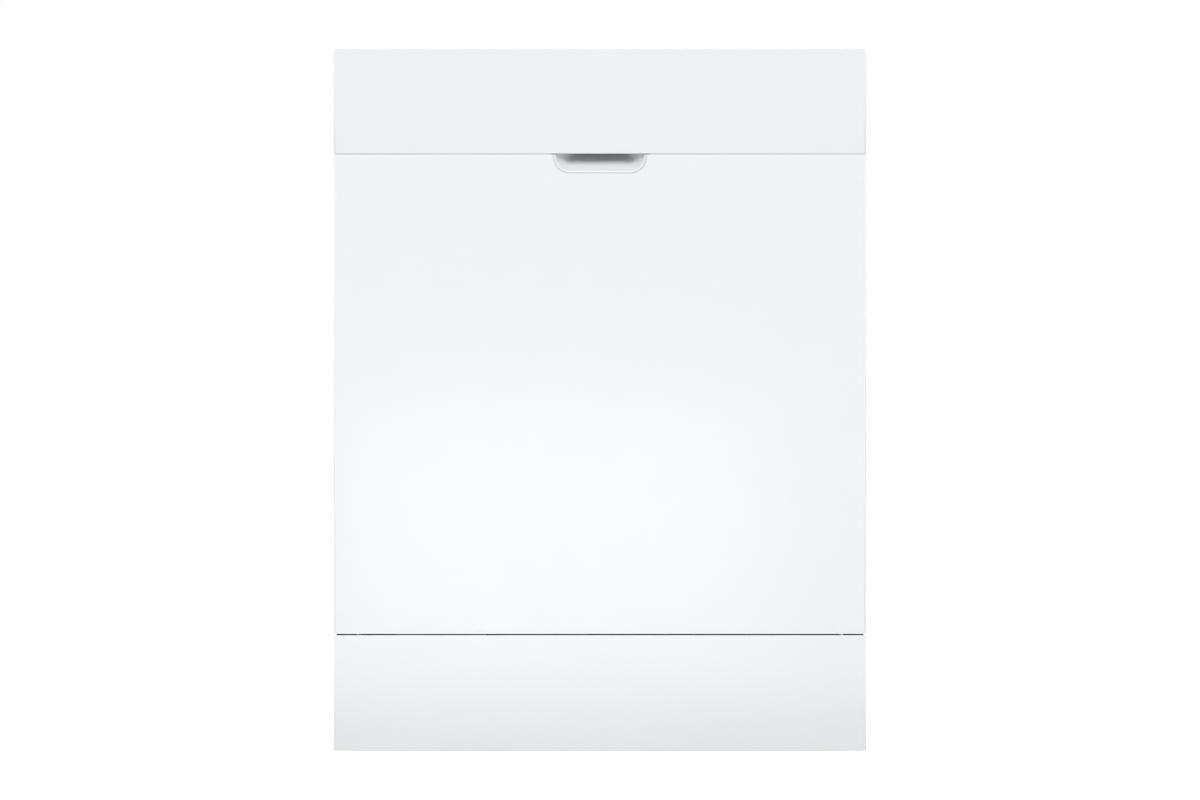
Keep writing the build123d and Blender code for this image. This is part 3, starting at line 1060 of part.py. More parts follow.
# Lower rack on two pairs of wheels, with fixed tines on the right and lugs for the folding row
WHEEL_R = 20.0
WHEEL = 8.0
WHEEL_FORE = 92.0
WHEEL_AFT = 96.0
WHEEL_Y = (RACK_FRONT + WHEEL_FORE, RACK_REAR - WHEEL_AFT)
AXLE_R = 4.0
AXLE_HEAD_R = 7.0
AXLE_HEAD = 2.0
AXLE_Z = TUB_RIM + WHEEL_R + GAP
RACK_OVERHANG = 3.0
WHEEL_STANDOFF = 5.0
LOWER_RISE = 132.0
LOWER_HALF = BASIN_HALF + RACK_OVERHANG
LOWER_FLOOR = AXLE_Z - WIRE / 2
LOWER_TOP = TUB_RIM + LOWER_RISE
WHEEL_X = LOWER_HALF + WHEEL_STANDOFF
LOWER_COLUMNS = round((2 * LOWER_HALF - WIRE) / RACK_PITCH)
LOWER_PITCH = (2 * LOWER_HALF - WIRE) / LOWER_COLUMNS
EDGE_WIRE_X = LOWER_HALF - WIRE / 2
TINE_ROWS = (EDGE_WIRE_X - 3 * LOWER_PITCH, EDGE_WIRE_X - LOWER_PITCH)
BASKET_INSET = 13.0
BASKET_LONG = 210.0
BASKET_WIDE = 85.0
BASKET_X = (LOWER_HALF - BASKET_INSET - BASKET_LONG, LOWER_HALF - BASKET_INSET)
BASKET_Y = (RACK_FRONT + 2 * WIRE, RACK_FRONT + 2 * WIRE + BASKET_WIDE)
TINE_FORE = 69.0
TINE_AFT = 46.0
TINE_Y = (BASKET_Y[1] + TINE_FORE, RACK_REAR - TINE_AFT)
TINE = 70.0
FOLD_X = 2 * LOWER_PITCH - EDGE_WIRE_X
FOLD_R = 2.5
FOLD_LUG = 6.0
FOLD_CLEAR = 1.0
FOLD_Z = LOWER_FLOOR + WIRE + FOLD_R + FOLD_CLEAR
FOLD_END = 12.0
with BuildPart() as lower_rack:
    tine_count = int((TINE_Y[1] - TINE_Y[0]) / TINE_PITCH) + 1
    for row_x in TINE_ROWS:
        for step in range(tine_count):
            post(row_x, TINE_Y[0] + step * TINE_PITCH, TINE_R, (LOWER_FLOOR + WIRE / 2, LOWER_FLOOR + TINE))
    for lug_y in (TINE_Y[0] - FOLD_END, TINE_Y[1] + FOLD_END):
        block((FOLD_X - FOLD_R - WIRE, FOLD_X + FOLD_R + WIRE), (lug_y - FOLD_LUG / 2, lug_y + FOLD_LUG / 2),
              (LOWER_FLOOR, FOLD_Z + FOLD_R + WIRE / 2))
        bar_y(FOLD_X, FOLD_Z, FOLD_R + RUN, (lug_y - FOLD_LUG, lug_y + FOLD_LUG), mode=Mode.SUBTRACT)
    for side in (-1, 1):
        for wheel_y in WHEEL_Y:
            inner = side * (LOWER_HALF - WIRE)
            outer = side * (WHEEL_X + WHEEL + GAP)
            tip = side * (WHEEL_X + WHEEL + GAP + AXLE_HEAD)
            bar_x(wheel_y, AXLE_Z, AXLE_R, (min(inner, outer), max(inner, outer)))
            bar_x(wheel_y, AXLE_Z, AXLE_HEAD_R, (min(outer, tip), max(outer, tip)))
    wire_rack(LOWER_HALF, RACK_FRONT, RACK_REAR, LOWER_FLOOR, LOWER_TOP)
keep(lower_rack, "lower_rack")

# Folding tine row
with BuildPart() as folding_tines:
    bar_y(FOLD_X, FOLD_Z, FOLD_R, (TINE_Y[0] - 2 * FOLD_END, TINE_Y[1] + 2 * FOLD_END))
    for step in range(tine_count):
        post(FOLD_X, TINE_Y[0] + step * TINE_PITCH, TINE_R, (FOLD_Z, LOWER_FLOOR + TINE))
keep(folding_tines, "folding_tines")


def wheel_pair(y):
    """Add to the part two wheels on one line, each with a hole for its axle."""
    for side in (-1, 1):
        near = side * WHEEL_X
        far = side * (WHEEL_X + WHEEL)
        x = (min(near, far), max(near, far))
        bar_x(y, AXLE_Z, WHEEL_R, x)
        bar_x(y, AXLE_Z, AXLE_R + RUN, x, mode=Mode.SUBTRACT)


with BuildPart() as wheels_front:
    wheel_pair(WHEEL_Y[0])
keep(wheels_front, "wheels_front")

with BuildPart() as wheels_rear:
    wheel_pair(WHEEL_Y[1])
keep(wheels_rear, "wheels_rear")

# Cutlery basket on the lower rack's floor
BASKET_HIGH = 115.0
BASKET_WALL = 2.0
BASKET_CELLS = 3
BASKET_BOTTOM = LOWER_FLOOR + WIRE
with BuildPart() as cutlery_basket:
    block(BASKET_X, BASKET_Y, (BASKET_BOTTOM, BASKET_BOTTOM + BASKET_HIGH))
    cell = (BASKET_X[1] - BASKET_X[0] - BASKET_WALL) / BASKET_CELLS
    for index in range(BASKET_CELLS):
        cell_x = BASKET_X[0] + BASKET_WALL + index * cell
        block((cell_x, cell_x + cell - BASKET_WALL), (BASKET_Y[0] + BASKET_WALL, BASKET_Y[1] - BASKET_WALL),
              (BASKET_BOTTOM + BASKET_WALL, BASKET_BOTTOM + BASKET_HIGH), mode=Mode.SUBTRACT)
keep(cutlery_basket, "cutlery_basket")
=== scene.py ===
import json
import math

import bmesh
import bpy
from mathutils import Matrix, Vector


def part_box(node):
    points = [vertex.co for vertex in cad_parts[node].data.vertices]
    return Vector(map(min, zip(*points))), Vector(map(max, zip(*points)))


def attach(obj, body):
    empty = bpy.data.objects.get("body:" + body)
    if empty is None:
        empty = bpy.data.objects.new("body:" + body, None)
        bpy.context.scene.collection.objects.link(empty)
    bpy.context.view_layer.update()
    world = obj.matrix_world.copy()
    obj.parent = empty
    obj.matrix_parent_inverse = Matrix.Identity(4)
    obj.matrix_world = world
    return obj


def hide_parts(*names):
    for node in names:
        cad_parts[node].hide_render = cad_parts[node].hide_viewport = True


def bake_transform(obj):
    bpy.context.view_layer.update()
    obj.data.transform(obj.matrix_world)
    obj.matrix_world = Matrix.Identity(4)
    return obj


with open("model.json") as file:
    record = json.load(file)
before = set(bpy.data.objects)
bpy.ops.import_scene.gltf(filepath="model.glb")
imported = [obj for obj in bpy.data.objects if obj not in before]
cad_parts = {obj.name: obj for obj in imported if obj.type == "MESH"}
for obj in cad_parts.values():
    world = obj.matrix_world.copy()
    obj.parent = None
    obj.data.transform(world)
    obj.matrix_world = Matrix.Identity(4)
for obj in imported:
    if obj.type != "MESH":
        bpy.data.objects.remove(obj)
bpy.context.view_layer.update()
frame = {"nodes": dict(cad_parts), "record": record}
scene = bpy.context.scene
nodes = frame["nodes"]

# Places that several pieces share with the solids, in metres
FRONT = -0.285
BODY_HALF = 0.296
CABINET_TOP = 0.781
PANEL_TOP = 0.6685


# Materials

def graph(name):
    """A new node material: its tree, its shader node, and the place in the frame as a coordinate."""
    mat = bpy.data.materials.new(name)
    mat.use_nodes = True
    tree = mat.node_tree
    shader = next(n for n in tree.nodes if n.type == "BSDF_PRINCIPLED")
    place = tree.nodes.new("ShaderNodeTexCoord").outputs["Object"]
    return mat, tree, shader, place


def stretch(tree, place, scale):
    """The place, stretched along the axes."""
    mapping = tree.nodes.new("ShaderNodeMapping")
    mapping.inputs["Scale"].default_value = scale
    tree.links.new(place, mapping.inputs["Vector"])
    return mapping.outputs["Vector"]


def noise(tree, place, scale, detail=3.0, rough=0.5):
    """Noise in the frame's metres, from 0 to 1."""
    node = tree.nodes.new("ShaderNodeTexNoise")
    node.inputs["Scale"].default_value = scale
    node.inputs["Detail"].default_value = detail
    node.inputs["Roughness"].default_value = rough
    tree.links.new(place, node.inputs["Vector"])
    return node.outputs["Fac"]


def ramp(tree, value, low, high):
    """Turn 0 to 1 into low to high."""
    node = tree.nodes.new("ShaderNodeMapRange")
    node.inputs["To Min"].default_value = low
    node.inputs["To Max"].default_value = high
    tree.links.new(value, node.inputs["Value"])
    return node.outputs["Result"]


def step(tree, value, low, high):
    """0 below low, 1 above high, smooth between."""
    node = tree.nodes.new("ShaderNodeMapRange")
    node.interpolation_type = "SMOOTHSTEP"
    node.inputs["From Min"].default_value = low
    node.inputs["From Max"].default_value = high
    tree.links.new(value, node.inputs["Value"])
    return node.outputs["Result"]


def maths(tree, operation, a, b=None):
    """One arithmetic step on sockets or numbers."""
    node = tree.nodes.new("ShaderNodeMath")
    node.operation = operation
    for socket, value in zip(node.inputs, (a, b)):
        if value is None:
            continue
        if isinstance(value, (int, float)):
            socket.default_value = value
        else:
            tree.links.new(value, socket)
    return node.outputs[0]


def mix(tree, factor, low, high):
    """Mix two colours, each a socket or three numbers."""
    node = tree.nodes.new("ShaderNodeMix")
    node.data_type = "RGBA"
    tree.links.new(factor, node.inputs["Factor"])
    for socket, value in ((node.inputs[6], low), (node.inputs[7], high)):
        if isinstance(value, tuple):
            socket.default_value = (*value, 1.0)
        else:
            tree.links.new(value, socket)
    return node.outputs[2]


def axes(tree, place):
    """The three coordinates of the place."""
    node = tree.nodes.new("ShaderNodeSeparateXYZ")
    tree.links.new(place, node.inputs[0])
    return node.outputs


def shade(colour, factor):
    """A colour, lighter or darker."""
    return tuple(min(1.0, c * factor) for c in colour)


def tint(tree, shader, factor, low, high):
    """Let a shader's colour vary between two colours."""
    tree.links.new(mix(tree, factor, low, high), shader.inputs["Base Color"])


def polish(tree, shader, value, low, high):
    """Let a shader's roughness vary between two levels."""
    tree.links.new(ramp(tree, value, low, high), shader.inputs["Roughness"])


def coating(shader, weight, rough):
    """Lay a clear coat over a shader."""
    shader.inputs["Coat Weight"].default_value = weight
    shader.inputs["Coat Roughness"].default_value = rough


def bump(tree, shader, height, strength, distance):
    """Raise a shader's surface by a height."""
    node = tree.nodes.new("ShaderNodeBump")
    node.inputs["Strength"].default_value = strength
    node.inputs["Distance"].default_value = distance
    tree.links.new(height, node.inputs["Height"])
    tree.links.new(node.outputs["Normal"], shader.inputs["Normal"])


def plastic(name, colour, rough, grain, depth, mottle, coat=0.0):
    """Moulded plastic: fine spark texture, faint mottling, uneven gloss."""
    mat, tree, shader, place = graph(name)
    broad = noise(tree, place, scale=14.0, detail=4.0)
    patch = noise(tree, place, scale=60.0, detail=4.0)
    fine = noise(tree, place, scale=grain, detail=2.0, rough=0.6)
    tint(tree, shader, broad, shade(colour, 1 - mottle), shade(colour, 1 + mottle))
    polish(tree, shader, patch, rough - 0.07, rough + 0.09)
    coating(shader, weight=coat, rough=0.2)
    bump(tree, shader, fine, strength=0.35, distance=depth)
    return mat


def enamel(name, colour, rough):
    """Baked white enamel on sheet: slight orange peel, and painted shade that darkens it near the
    floor.
    """
    mat, tree, shader, place = graph(name)
    height = axes(tree, place)[2]
    broad = noise(tree, place, scale=5.0)
    patch = noise(tree, place, scale=40.0, detail=4.0)
    peel = noise(tree, place, scale=420.0, detail=2.0)
    base = mix(tree, broad, shade(colour, 0.992), shade(colour, 1.006))
    # Painted shade: the colour darkens in uneven patches over the lowest 0.115 m, towards the floor.
    low_down = maths(tree, "SUBTRACT", 1.0, step(tree, height, low=0.0, high=0.115))
    uneven = ramp(tree, noise(tree, place, scale=9.0, detail=5.0), low=0.7, high=1.0)
    painted_floor_shade = maths(tree, "MULTIPLY", maths(tree, "MULTIPLY", low_down, uneven), 0.38)
    tint(tree, shader, painted_floor_shade, base, shade(colour, 0.78))
    polish(tree, shader, patch, rough - 0.04, rough + 0.06)
    coating(shader, weight=0.15, rough=0.12)
    bump(tree, shader, peel, strength=0.12, distance=0.00012)
    return mat


def steel(name, colour, rough, along, depth=0.00003):
    """Brushed steel sheet, with the grain along one axis and a few soft water marks."""
    mat, tree, shader, place = graph(name)
    scale = [1500.0, 1500.0, 1500.0]
    scale[along] = 14.0
    grain = noise(tree, stretch(tree, place, scale), scale=1.0, rough=0.6)
    cloud = noise(tree, place, scale=7.0, detail=5.0)
    tone = mix(tree, grain, shade(colour, 0.93), shade(colour, 1.05))
    tint(tree, shader, step(tree, cloud, low=0.42, high=0.75), tone, shade(colour, 0.96))
    shader.inputs["Metallic"].default_value = 1.0
    uneven = maths(tree, "ADD", ramp(tree, grain, low=-0.05, high=0.06),
                   ramp(tree, cloud, rough - 0.05, rough + 0.06))
    tree.links.new(uneven, shader.inputs["Roughness"])
    bump(tree, shader, grain, strength=0.25, distance=depth)
    return mat


def zinc(name, colour):
    """Zinc-coated sheet with its frosty spangle."""
    mat, tree, shader, place = graph(name)
    warp = tree.nodes.new("ShaderNodeTexNoise")
    warp.inputs["Scale"].default_value = 60.0
    tree.links.new(place, warp.inputs["Vector"])
    wobble = tree.nodes.new("ShaderNodeVectorMath")
    wobble.operation = "MULTIPLY_ADD"
    tree.links.new(warp.outputs["Color"], wobble.inputs[0])
    wobble.inputs[1].default_value = (0.012, 0.012, 0.012)
    tree.links.new(place, wobble.inputs[2])
    cell = tree.nodes.new("ShaderNodeTexVoronoi")
    cell.inputs["Scale"].default_value = 95.0
    tree.links.new(wobble.outputs[0], cell.inputs["Vector"])
    grey = tree.nodes.new("ShaderNodeRGBToBW")
    tree.links.new(cell.outputs["Color"], grey.inputs[0])
    spangle = mix(tree, grey.outputs[0], shade(colour, 0.8), shade(colour, 1.14))
    worn = ramp(tree, noise(tree, place, scale=4.0, detail=4.0), low=0.0, high=0.6)
    tint(tree, shader, worn, spangle, shade(colour, 0.95))
    shader.inputs["Metallic"].default_value = 0.7
    polish(tree, shader, grey.outputs[0], low=0.42, high=0.62)
    bump(tree, shader, noise(tree, place, scale=700.0), strength=0.15, distance=0.00008)
    return mat


def rubber(name, colour):
    """Soft black seal, matt and a little patchy."""
    mat, tree, shader, place = graph(name)
    patch = noise(tree, place, scale=30.0, detail=4.0)
    tint(tree, shader, patch, shade(colour, 0.7), shade(colour, 1.5))
    polish(tree, shader, noise(tree, place, scale=90.0), low=0.55, high=0.8)
    bump(tree, shader, noise(tree, place, scale=900.0, detail=2.0), strength=0.3, distance=0.0001)
    return mat


def coated_wire(name, colour):
    """Grey nylon dip on wire: soft gloss, a little runny."""
    mat, tree, shader, place = graph(name)
    patch = noise(tree, place, scale=45.0, detail=4.0)
    tint(tree, shader, patch, shade(colour, 0.9), shade(colour, 1.07))
    polish(tree, shader, noise(tree, place, scale=120.0), low=0.3, high=0.5)
    bump(tree, shader, noise(tree, place, scale=330.0), strength=0.25, distance=0.0002)
    return mat


def perforated(name, colour, pitch, hole):
    """Fine sieve: round holes on a square pitch, over steel."""
    mat, tree, shader, place = graph(name)
    squares = []
    for coordinate in axes(tree, place)[:2]:
        cell = maths(tree, "FRACT", maths(tree, "MULTIPLY", coordinate, 1 / pitch))
        squares.append(maths(tree, "POWER", maths(tree, "SUBTRACT", cell, 0.5), 2.0))
    far = maths(tree, "SQRT", maths(tree, "ADD", *squares))
    solid = step(tree, far, hole - 0.05, hole + 0.05)
    tint(tree, shader, solid, (0.03, 0.03, 0.032), colour)
    tree.links.new(ramp(tree, solid, low=0.1, high=1.0), shader.inputs["Metallic"])
    polish(tree, shader, noise(tree, place, scale=80.0), low=0.28, high=0.42)
    bump(tree, shader, solid, strength=0.8, distance=0.0004)
    return mat


def glass_panel(name, colour):
    """Dark window: a gloss face over a smoked tint."""
    mat, tree, shader, place = graph(name)
    tint(tree, shader, noise(tree, place, scale=20.0), shade(colour, 0.8), shade(colour, 1.3))
    polish(tree, shader, noise(tree, place, scale=200.0), low=0.05, high=0.12)
    coating(shader, weight=0.6, rough=0.04)
    return mat


MATERIALS = {
    "white_panel": enamel("white_enamel", (0.885, 0.9, 0.93), rough=0.3),
    "white_plastic": plastic("white_moulding", (0.85, 0.865, 0.895), rough=0.36,
                             grain=900.0, depth=0.00003, mottle=0.006, coat=0.1),
    "control_plastic": plastic("light_grey_moulding", (0.62, 0.63, 0.65), rough=0.38,
                               grain=1400.0, depth=0.00005, mottle=0.02),
    "button_plastic": plastic("button_moulding", (0.24, 0.25, 0.265), rough=0.32,
                              grain=1600.0, depth=0.00004, mottle=0.03),
    "stainless": steel("stainless_sheet", (0.53, 0.54, 0.555), rough=0.4, along=0),
    "galvanised": zinc("zinc_sheet", (0.44, 0.455, 0.475)),
    "spring_steel": steel("bright_wire", (0.66, 0.66, 0.67), rough=0.25, along=2),
    "base_plastic": plastic("dark_moulding", (0.022, 0.024, 0.027), rough=0.55,
                            grain=1200.0, depth=0.0001, mottle=0.2),
    "tub_plastic": plastic("tub_moulding", (0.24, 0.255, 0.27), rough=0.48,
                           grain=1100.0, depth=0.00008, mottle=0.06),
    "grey_plastic": plastic("grey_moulding", (0.36, 0.375, 0.395), rough=0.45,
                            grain=1200.0, depth=0.00007, mottle=0.05),
    "rinse_plastic": plastic("blue_grey_moulding", (0.11, 0.16, 0.24), rough=0.4,
                             grain=1300.0, depth=0.00006, mottle=0.06),
    "pale_plastic": plastic("pale_moulding", (0.6, 0.615, 0.59), rough=0.45,
                            grain=1200.0, depth=0.00007, mottle=0.04),
    "motor": steel("cast_housing", (0.3, 0.31, 0.32), rough=0.5, along=1, depth=0.00008),
    "rack_coating": coated_wire("coated_wire", (0.3, 0.32, 0.35)),
    "seal": rubber("black_seal", (0.012, 0.012, 0.013)),
    "window": glass_panel("dark_window", (0.01, 0.012, 0.014)),
}
SIEVE = perforated("sieve_plate", (0.6, 0.61, 0.62), pitch=0.0036, hole=0.27)
# Darker than the white mouldings round it: painted shade in the grip's hollow.
GRIP_PAINTED_SHADE = plastic("grip_moulding_painted_shade", (0.755, 0.768, 0.796), rough=0.4,
                      grain=1000.0, depth=0.00004, mottle=0.012)
SLOT_OF = {s["node"]: s["material_slot"] for s in frame["record"]["subparts"]}


def paint(obj, mat):
    """Give a piece its material in every slot."""
    if not obj.material_slots:
        obj.data.materials.append(mat)
    for place in obj.material_slots:
        place.material = mat


for node_name, node in nodes.items():
    paint(node, MATERIALS[SLOT_OF[node_name]])
paint(nodes["filter_plate"], SIEVE)


# Soft edges on the sheet and moulded pieces

SOFT_EDGES = {
    "door_outer_panel": 0.0004, "fascia": 0.0006, "kickplate": 0.0004, "control_strip": 0.0004,
    "power_button": 0.0008, "program_button": 0.0008, "option_button": 0.0008,
    "start_button": 0.0008, "display_window": 0.0004, "dispenser": 0.0008,
    "dispenser_lid": 0.0006, "rinse_aid_cap": 0.0008, "lower_spray_arm": 0.002,
    "upper_spray_arm": 0.002, "wheels_front": 0.0015, "wheels_rear": 0.0015,
    "door_gasket": 0.0025, "feed_duct": 0.003, "upper_feed_pipe": 0.0015, "salt_cap": 0.001,
    "filter_cup": 0.0008, "inner_rails": 0.0006, "middle_rails": 0.0006, "outer_rails": 0.0006,
    "foot_front_left": 0.0015, "foot_front_right": 0.0015, "feet_rear": 0.0015,
    "side_panel_left": 0.0004, "side_panel_right": 0.0004, "terminal_box": 0.0015,
    "inlet_valve": 0.0008,
}
SHARP_ANGLE = math.radians(35.0)
FLAT_ANGLE = math.radians(0.5)
WELD_GAP = 0.00001


def soften(obj, width):
    """Break a CAD piece's sharp edges with a small round."""
    weld = obj.modifiers.new("weld", "WELD")
    weld.merge_threshold = WELD_GAP
    flat = obj.modifiers.new("flat", "DECIMATE")
    flat.decimate_type = "DISSOLVE"
    flat.angle_limit = FLAT_ANGLE
    edge = obj.modifiers.new("round", "BEVEL")
    edge.width = width
    edge.segments = 2
    edge.limit_method = "ANGLE"
    edge.angle_limit = SHARP_ANGLE
    edge.use_clamp_overlap = True
    edge.harden_normals = True


for node_name, edge_width in SOFT_EDGES.items():
    soften(nodes[node_name], edge_width)


# Building blocks of the added pieces

UNMOVED = Matrix.Identity(4)
BEVEL_UNIT = 0.001
MERGE_GAP = 0.000005


def rounded(corners, radius, closed=False, steps=4):
    """A line through corners, straight between them and bent round each one."""
    corners = [Vector(c) for c in corners]
    line = []
    for i, corner in enumerate(corners):
        if not closed and i in (0, len(corners) - 1):
            line.append(corner)
            continue
        before = corners[i - 1]
        after = corners[(i + 1) % len(corners)]
        start = corner + (before - corner).normalized() * radius
        end = corner + (after - corner).normalized() * radius
        for k in range(steps + 1):
            t = k / steps
            line.append(start * (1 - t) ** 2 + corner * 2 * t * (1 - t) + end * t * t)
    return line


def wire_curve(name, sides=2):
    """An empty curve that takes round wires."""
    curve = bpy.data.curves.new(name, "CURVE")
    curve.dimensions = "3D"
    curve.bevel_depth = BEVEL_UNIT
    curve.bevel_resolution = sides
    curve.use_fill_caps = True
    return curve


def strand(curve, line, radii, closed=False):
    """Add to a curve one round wire along a line, with one radius or one for each point."""
    if isinstance(radii, float):
        radii = [radii] * len(line)
    spline = curve.splines.new("POLY")
    spline.points.add(len(line) - 1)
    for point, place, radius in zip(spline.points, line, radii):
        point.co = (*place, 1.0)
        point.radius = radius / BEVEL_UNIT
    spline.use_cyclic_u = closed


def as_mesh(curve):
    """The mesh of a curve, which then goes."""
    holder = bpy.data.objects.new(curve.name, curve)
    mesh = bpy.data.meshes.new_from_object(holder)
    bpy.data.objects.remove(holder)
    bpy.data.curves.remove(curve)
    return mesh


def plate(outlines, thick, edge):
    """A flat plate, middle on z = 0, from its outline and its holes, with broken edges."""
    curve = bpy.data.curves.new("plate", "CURVE")
    curve.dimensions = "2D"
    curve.fill_mode = "BOTH"
    curve.extrude = thick / 2 - edge
    curve.bevel_depth = edge
    curve.bevel_resolution = 1
    curve.offset = -edge
    for outline in outlines:
        spline = curve.splines.new("POLY")
        spline.points.add(len(outline) - 1)
        for point, place in zip(spline.points, outline):
            point.co = (place[0], place[1], 0.0, 1.0)
        spline.use_cyclic_u = True
    return as_mesh(curve)


def oblong(x, y, width, height, radius):
    """A rectangle with round corners, as an outline."""
    w, h = width / 2, height / 2
    corners = [(x - w, y - h, 0), (x + w, y - h, 0), (x + w, y + h, 0), (x - w, y + h, 0)]
    return rounded(corners, radius, closed=True, steps=3)


def ring_line(x, y, radius, sides=28):
    """A circle, as an outline."""
    angles = [2 * math.pi * k / sides for k in range(sides)]
    return [(x + radius * math.cos(a), y + radius * math.sin(a)) for a in angles]


def turned(profile, sides=28):
    """A shape turned about z, from (radius, height) pairs."""
    form = bmesh.new()
    rings = []
    for radius, height in profile:
        circle = ring_line(0, 0, radius, sides)
        rings.append([form.verts.new((x, y, height)) for x, y in circle])
    for low, high in zip(rings, rings[1:]):
        for k in range(sides):
            after = (k + 1) % sides
            form.faces.new((low[k], low[after], high[after], high[k]))
    form.faces.new(list(reversed(rings[0])))
    form.faces.new(rings[-1])
    mesh = bpy.data.meshes.new("turned")
    form.to_mesh(mesh)
    form.free()
    return mesh


def facing(place, right, up):
    """The matrix that lays a shape's x and y along two directions, at a place."""
    right, up = Vector(right), Vector(up)
    out = right.cross(up)
    rows = [(right[k], up[k], out[k], place[k]) for k in range(3)]
    return Matrix((*rows, (0, 0, 0, 1)))


TO_FRONT = ((1, 0, 0), (0, 0, 1))
TO_REAR = ((-1, 0, 0), (0, 0, 1))
TO_RIGHT = ((0, 1, 0), (0, 0, 1))
TO_LEFT = ((0, -1, 0), (0, 0, 1))
TO_TOP = ((1, 0, 0), (0, 1, 0))
SIDES = ((1, TO_RIGHT), (-1, TO_LEFT))


def merged(name, parts):
    """One mesh from several placed ones, smooth but for its sharp edges."""
    form = bmesh.new()
    for mesh, place in parts:
        copy = mesh.copy()
        copy.transform(place)
        form.from_mesh(copy)
        bpy.data.meshes.remove(copy)
    bmesh.ops.remove_doubles(form, verts=form.verts, dist=MERGE_GAP)
    for face in form.faces:
        face.smooth = True
    for edge in form.edges:
        edge.smooth = edge.calc_face_angle(0.0) < SHARP_ANGLE
    mesh = bpy.data.meshes.new(name)
    form.to_mesh(mesh)
    form.free()
    return mesh


def piece(name, data, body, slot, replaced=(), mat=None):
    """Put a new piece in the scene, on its body, in its finish."""
    obj = bpy.data.objects.new(name, data)
    scene.collection.objects.link(obj)
    paint(obj, mat or MATERIALS[slot])
    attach(obj, body)
    if replaced:
        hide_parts(*replaced)


# Wire racks

LONG_WIRE_R = 0.0017
CROSS_WIRE_R = 0.0014
CROSS_RISE = 0.0012
WALL_BEND = 0.012
MIDDLE_RING_R = 0.0016
RIM_RING_R = 0.0025
RING_BEND = 0.016
RACK_COLUMNS = 9
RACK_ROWS = 8


def rack(name, half, front, rear, floor, middle, top):
    """A basket of round wire: wires both ways bent up into its walls, and two rings round them."""
    curve = wire_curve(name)
    pitch_x, pitch_y = 2 * half / RACK_COLUMNS, (rear - front) / RACK_ROWS
    for k in range(1, RACK_COLUMNS):
        x = k * pitch_x - half
        line = [(x, front, top), (x, front, floor), (x, rear, floor), (x, rear, top)]
        strand(curve, rounded(line, WALL_BEND), LONG_WIRE_R)
    cross = floor + CROSS_RISE
    for k in range(1, RACK_ROWS):
        y = front + k * pitch_y
        line = [(-half, y, top), (-half, y, cross), (half, y, cross), (half, y, top)]
        strand(curve, rounded(line, WALL_BEND), CROSS_WIRE_R)
    for z, radius in ((middle, MIDDLE_RING_R), (top, RIM_RING_R)):
        ring = [(-half, front, z), (half, front, z), (half, rear, z), (-half, rear, z)]
        strand(curve, rounded(ring, RING_BEND, closed=True, steps=6), radius, closed=True)
    return curve


TINE_TOP = 0.3163
TINE_YS = [-0.060 + 0.045 * k for k in range(6)]
TIP_FORM = ((0.006, 0.0017), (0.0035, 0.0022), (0.001, 0.0022), (0.0, 0.0013))


def tine(curve, x, y, low):
    """Add an upright tine with a thick dipped tip, from (distance to its top, radius) pairs."""
    line = [(x, y, low)] + [(x, y, TINE_TOP - drop) for drop, _ in TIP_FORM]
    strand(curve, line, [LONG_WIRE_R] + [radius for _, radius in TIP_FORM])


LUG_HEIGHT = 0.0135
LUG_THICK = 0.006


def eye_lug(width, hole):
    """A small moulded lug with a round hole, its hole at the middle of its upper end."""
    half = width / 2
    outer = oblong(0, half - LUG_HEIGHT / 2, width, LUG_HEIGHT, half * 0.7)
    return plate([outer, ring_line(0, 0, hole, 20)], LUG_THICK, 0.0005)


RACK_GRIP_WIDTH = 0.15
RACK_GRIP_TAPER = 0.006


def rack_grip():
    """A moulded grip that clips over a rack's front rim: a rounded bar with a finger hollow."""
    low_half = RACK_GRIP_WIDTH / 2
    high_half = low_half - RACK_GRIP_TAPER
    outer = rounded([(-low_half, -0.011, 0), (low_half, -0.011, 0),
                     (high_half, 0.007, 0), (-high_half, 0.007, 0)], 0.005, closed=True)
    hollow = oblong(0, -0.0035, RACK_GRIP_WIDTH - 0.03, 0.0075, 0.0036)
    return plate([outer, hollow], 0.0075, 0.0016)


LOWER_FLOOR = 0.2479
LOWER_RIM = 0.3575
FIXED_TINE_XS = (0.08033, 0.18744)
lower = rack("lower_rack_wires", half=0.241, front=-0.220, rear=0.234,
             floor=LOWER_FLOOR, middle=0.3031, top=LOWER_RIM)
for tine_x in FIXED_TINE_XS:
    for tine_y in TINE_YS:
        tine(lower, tine_x, tine_y, LOWER_FLOOR)
piece("lower_rack_wires", lower, "bottom_rack", "rack_coating", ["lower_rack"])

AXLE_YS = (-0.130, 0.140)
AXLE_Z = 0.2483
AXLE_X = 0.242
AXLE_PROFILE = ((0.004, 0.0), (0.004, 0.0142), (0.0062, 0.0143), (0.007, 0.0149),
                (0.007, 0.0157), (0.0063, 0.0163))
CARRIER_X = 0.2447
CARRIER_CORNERS = ((-0.012, -0.0105, 0), (0.012, -0.0105, 0), (0.034, 0.016, 0),
                   (0.034, 0.03, 0), (-0.034, 0.03, 0), (-0.034, 0.016, 0))
FOLD_X = -0.13389
FOLD_Z = 0.2538
FOLD_ENDS = (-0.084, 0.214)
FOLD_LUG_YS = (-0.072, 0.202)
axle = turned(AXLE_PROFILE)
carrier = plate([rounded(CARRIER_CORNERS, 0.006, closed=True)], 0.0052, 0.0012)
fold_lug = eye_lug(0.013, 0.0026)
grip_bar = rack_grip()
fittings = []
for axle_y in AXLE_YS:
    for side, way in SIDES:
        fittings.append((axle, facing((side * AXLE_X, axle_y, AXLE_Z), *way)))
        fittings.append((carrier, facing((side * CARRIER_X, axle_y, AXLE_Z), *way)))
for lug_y in FOLD_LUG_YS:
    fittings.append((fold_lug, facing((FOLD_X, lug_y, FOLD_Z), *TO_FRONT)))
fittings.append((grip_bar, facing((0, -0.2215, LOWER_RIM), *TO_FRONT)))
piece("lower_rack_fittings", merged("lower_rack_fittings", fittings), "bottom_rack",
      "grey_plastic", ["lower_rack"])

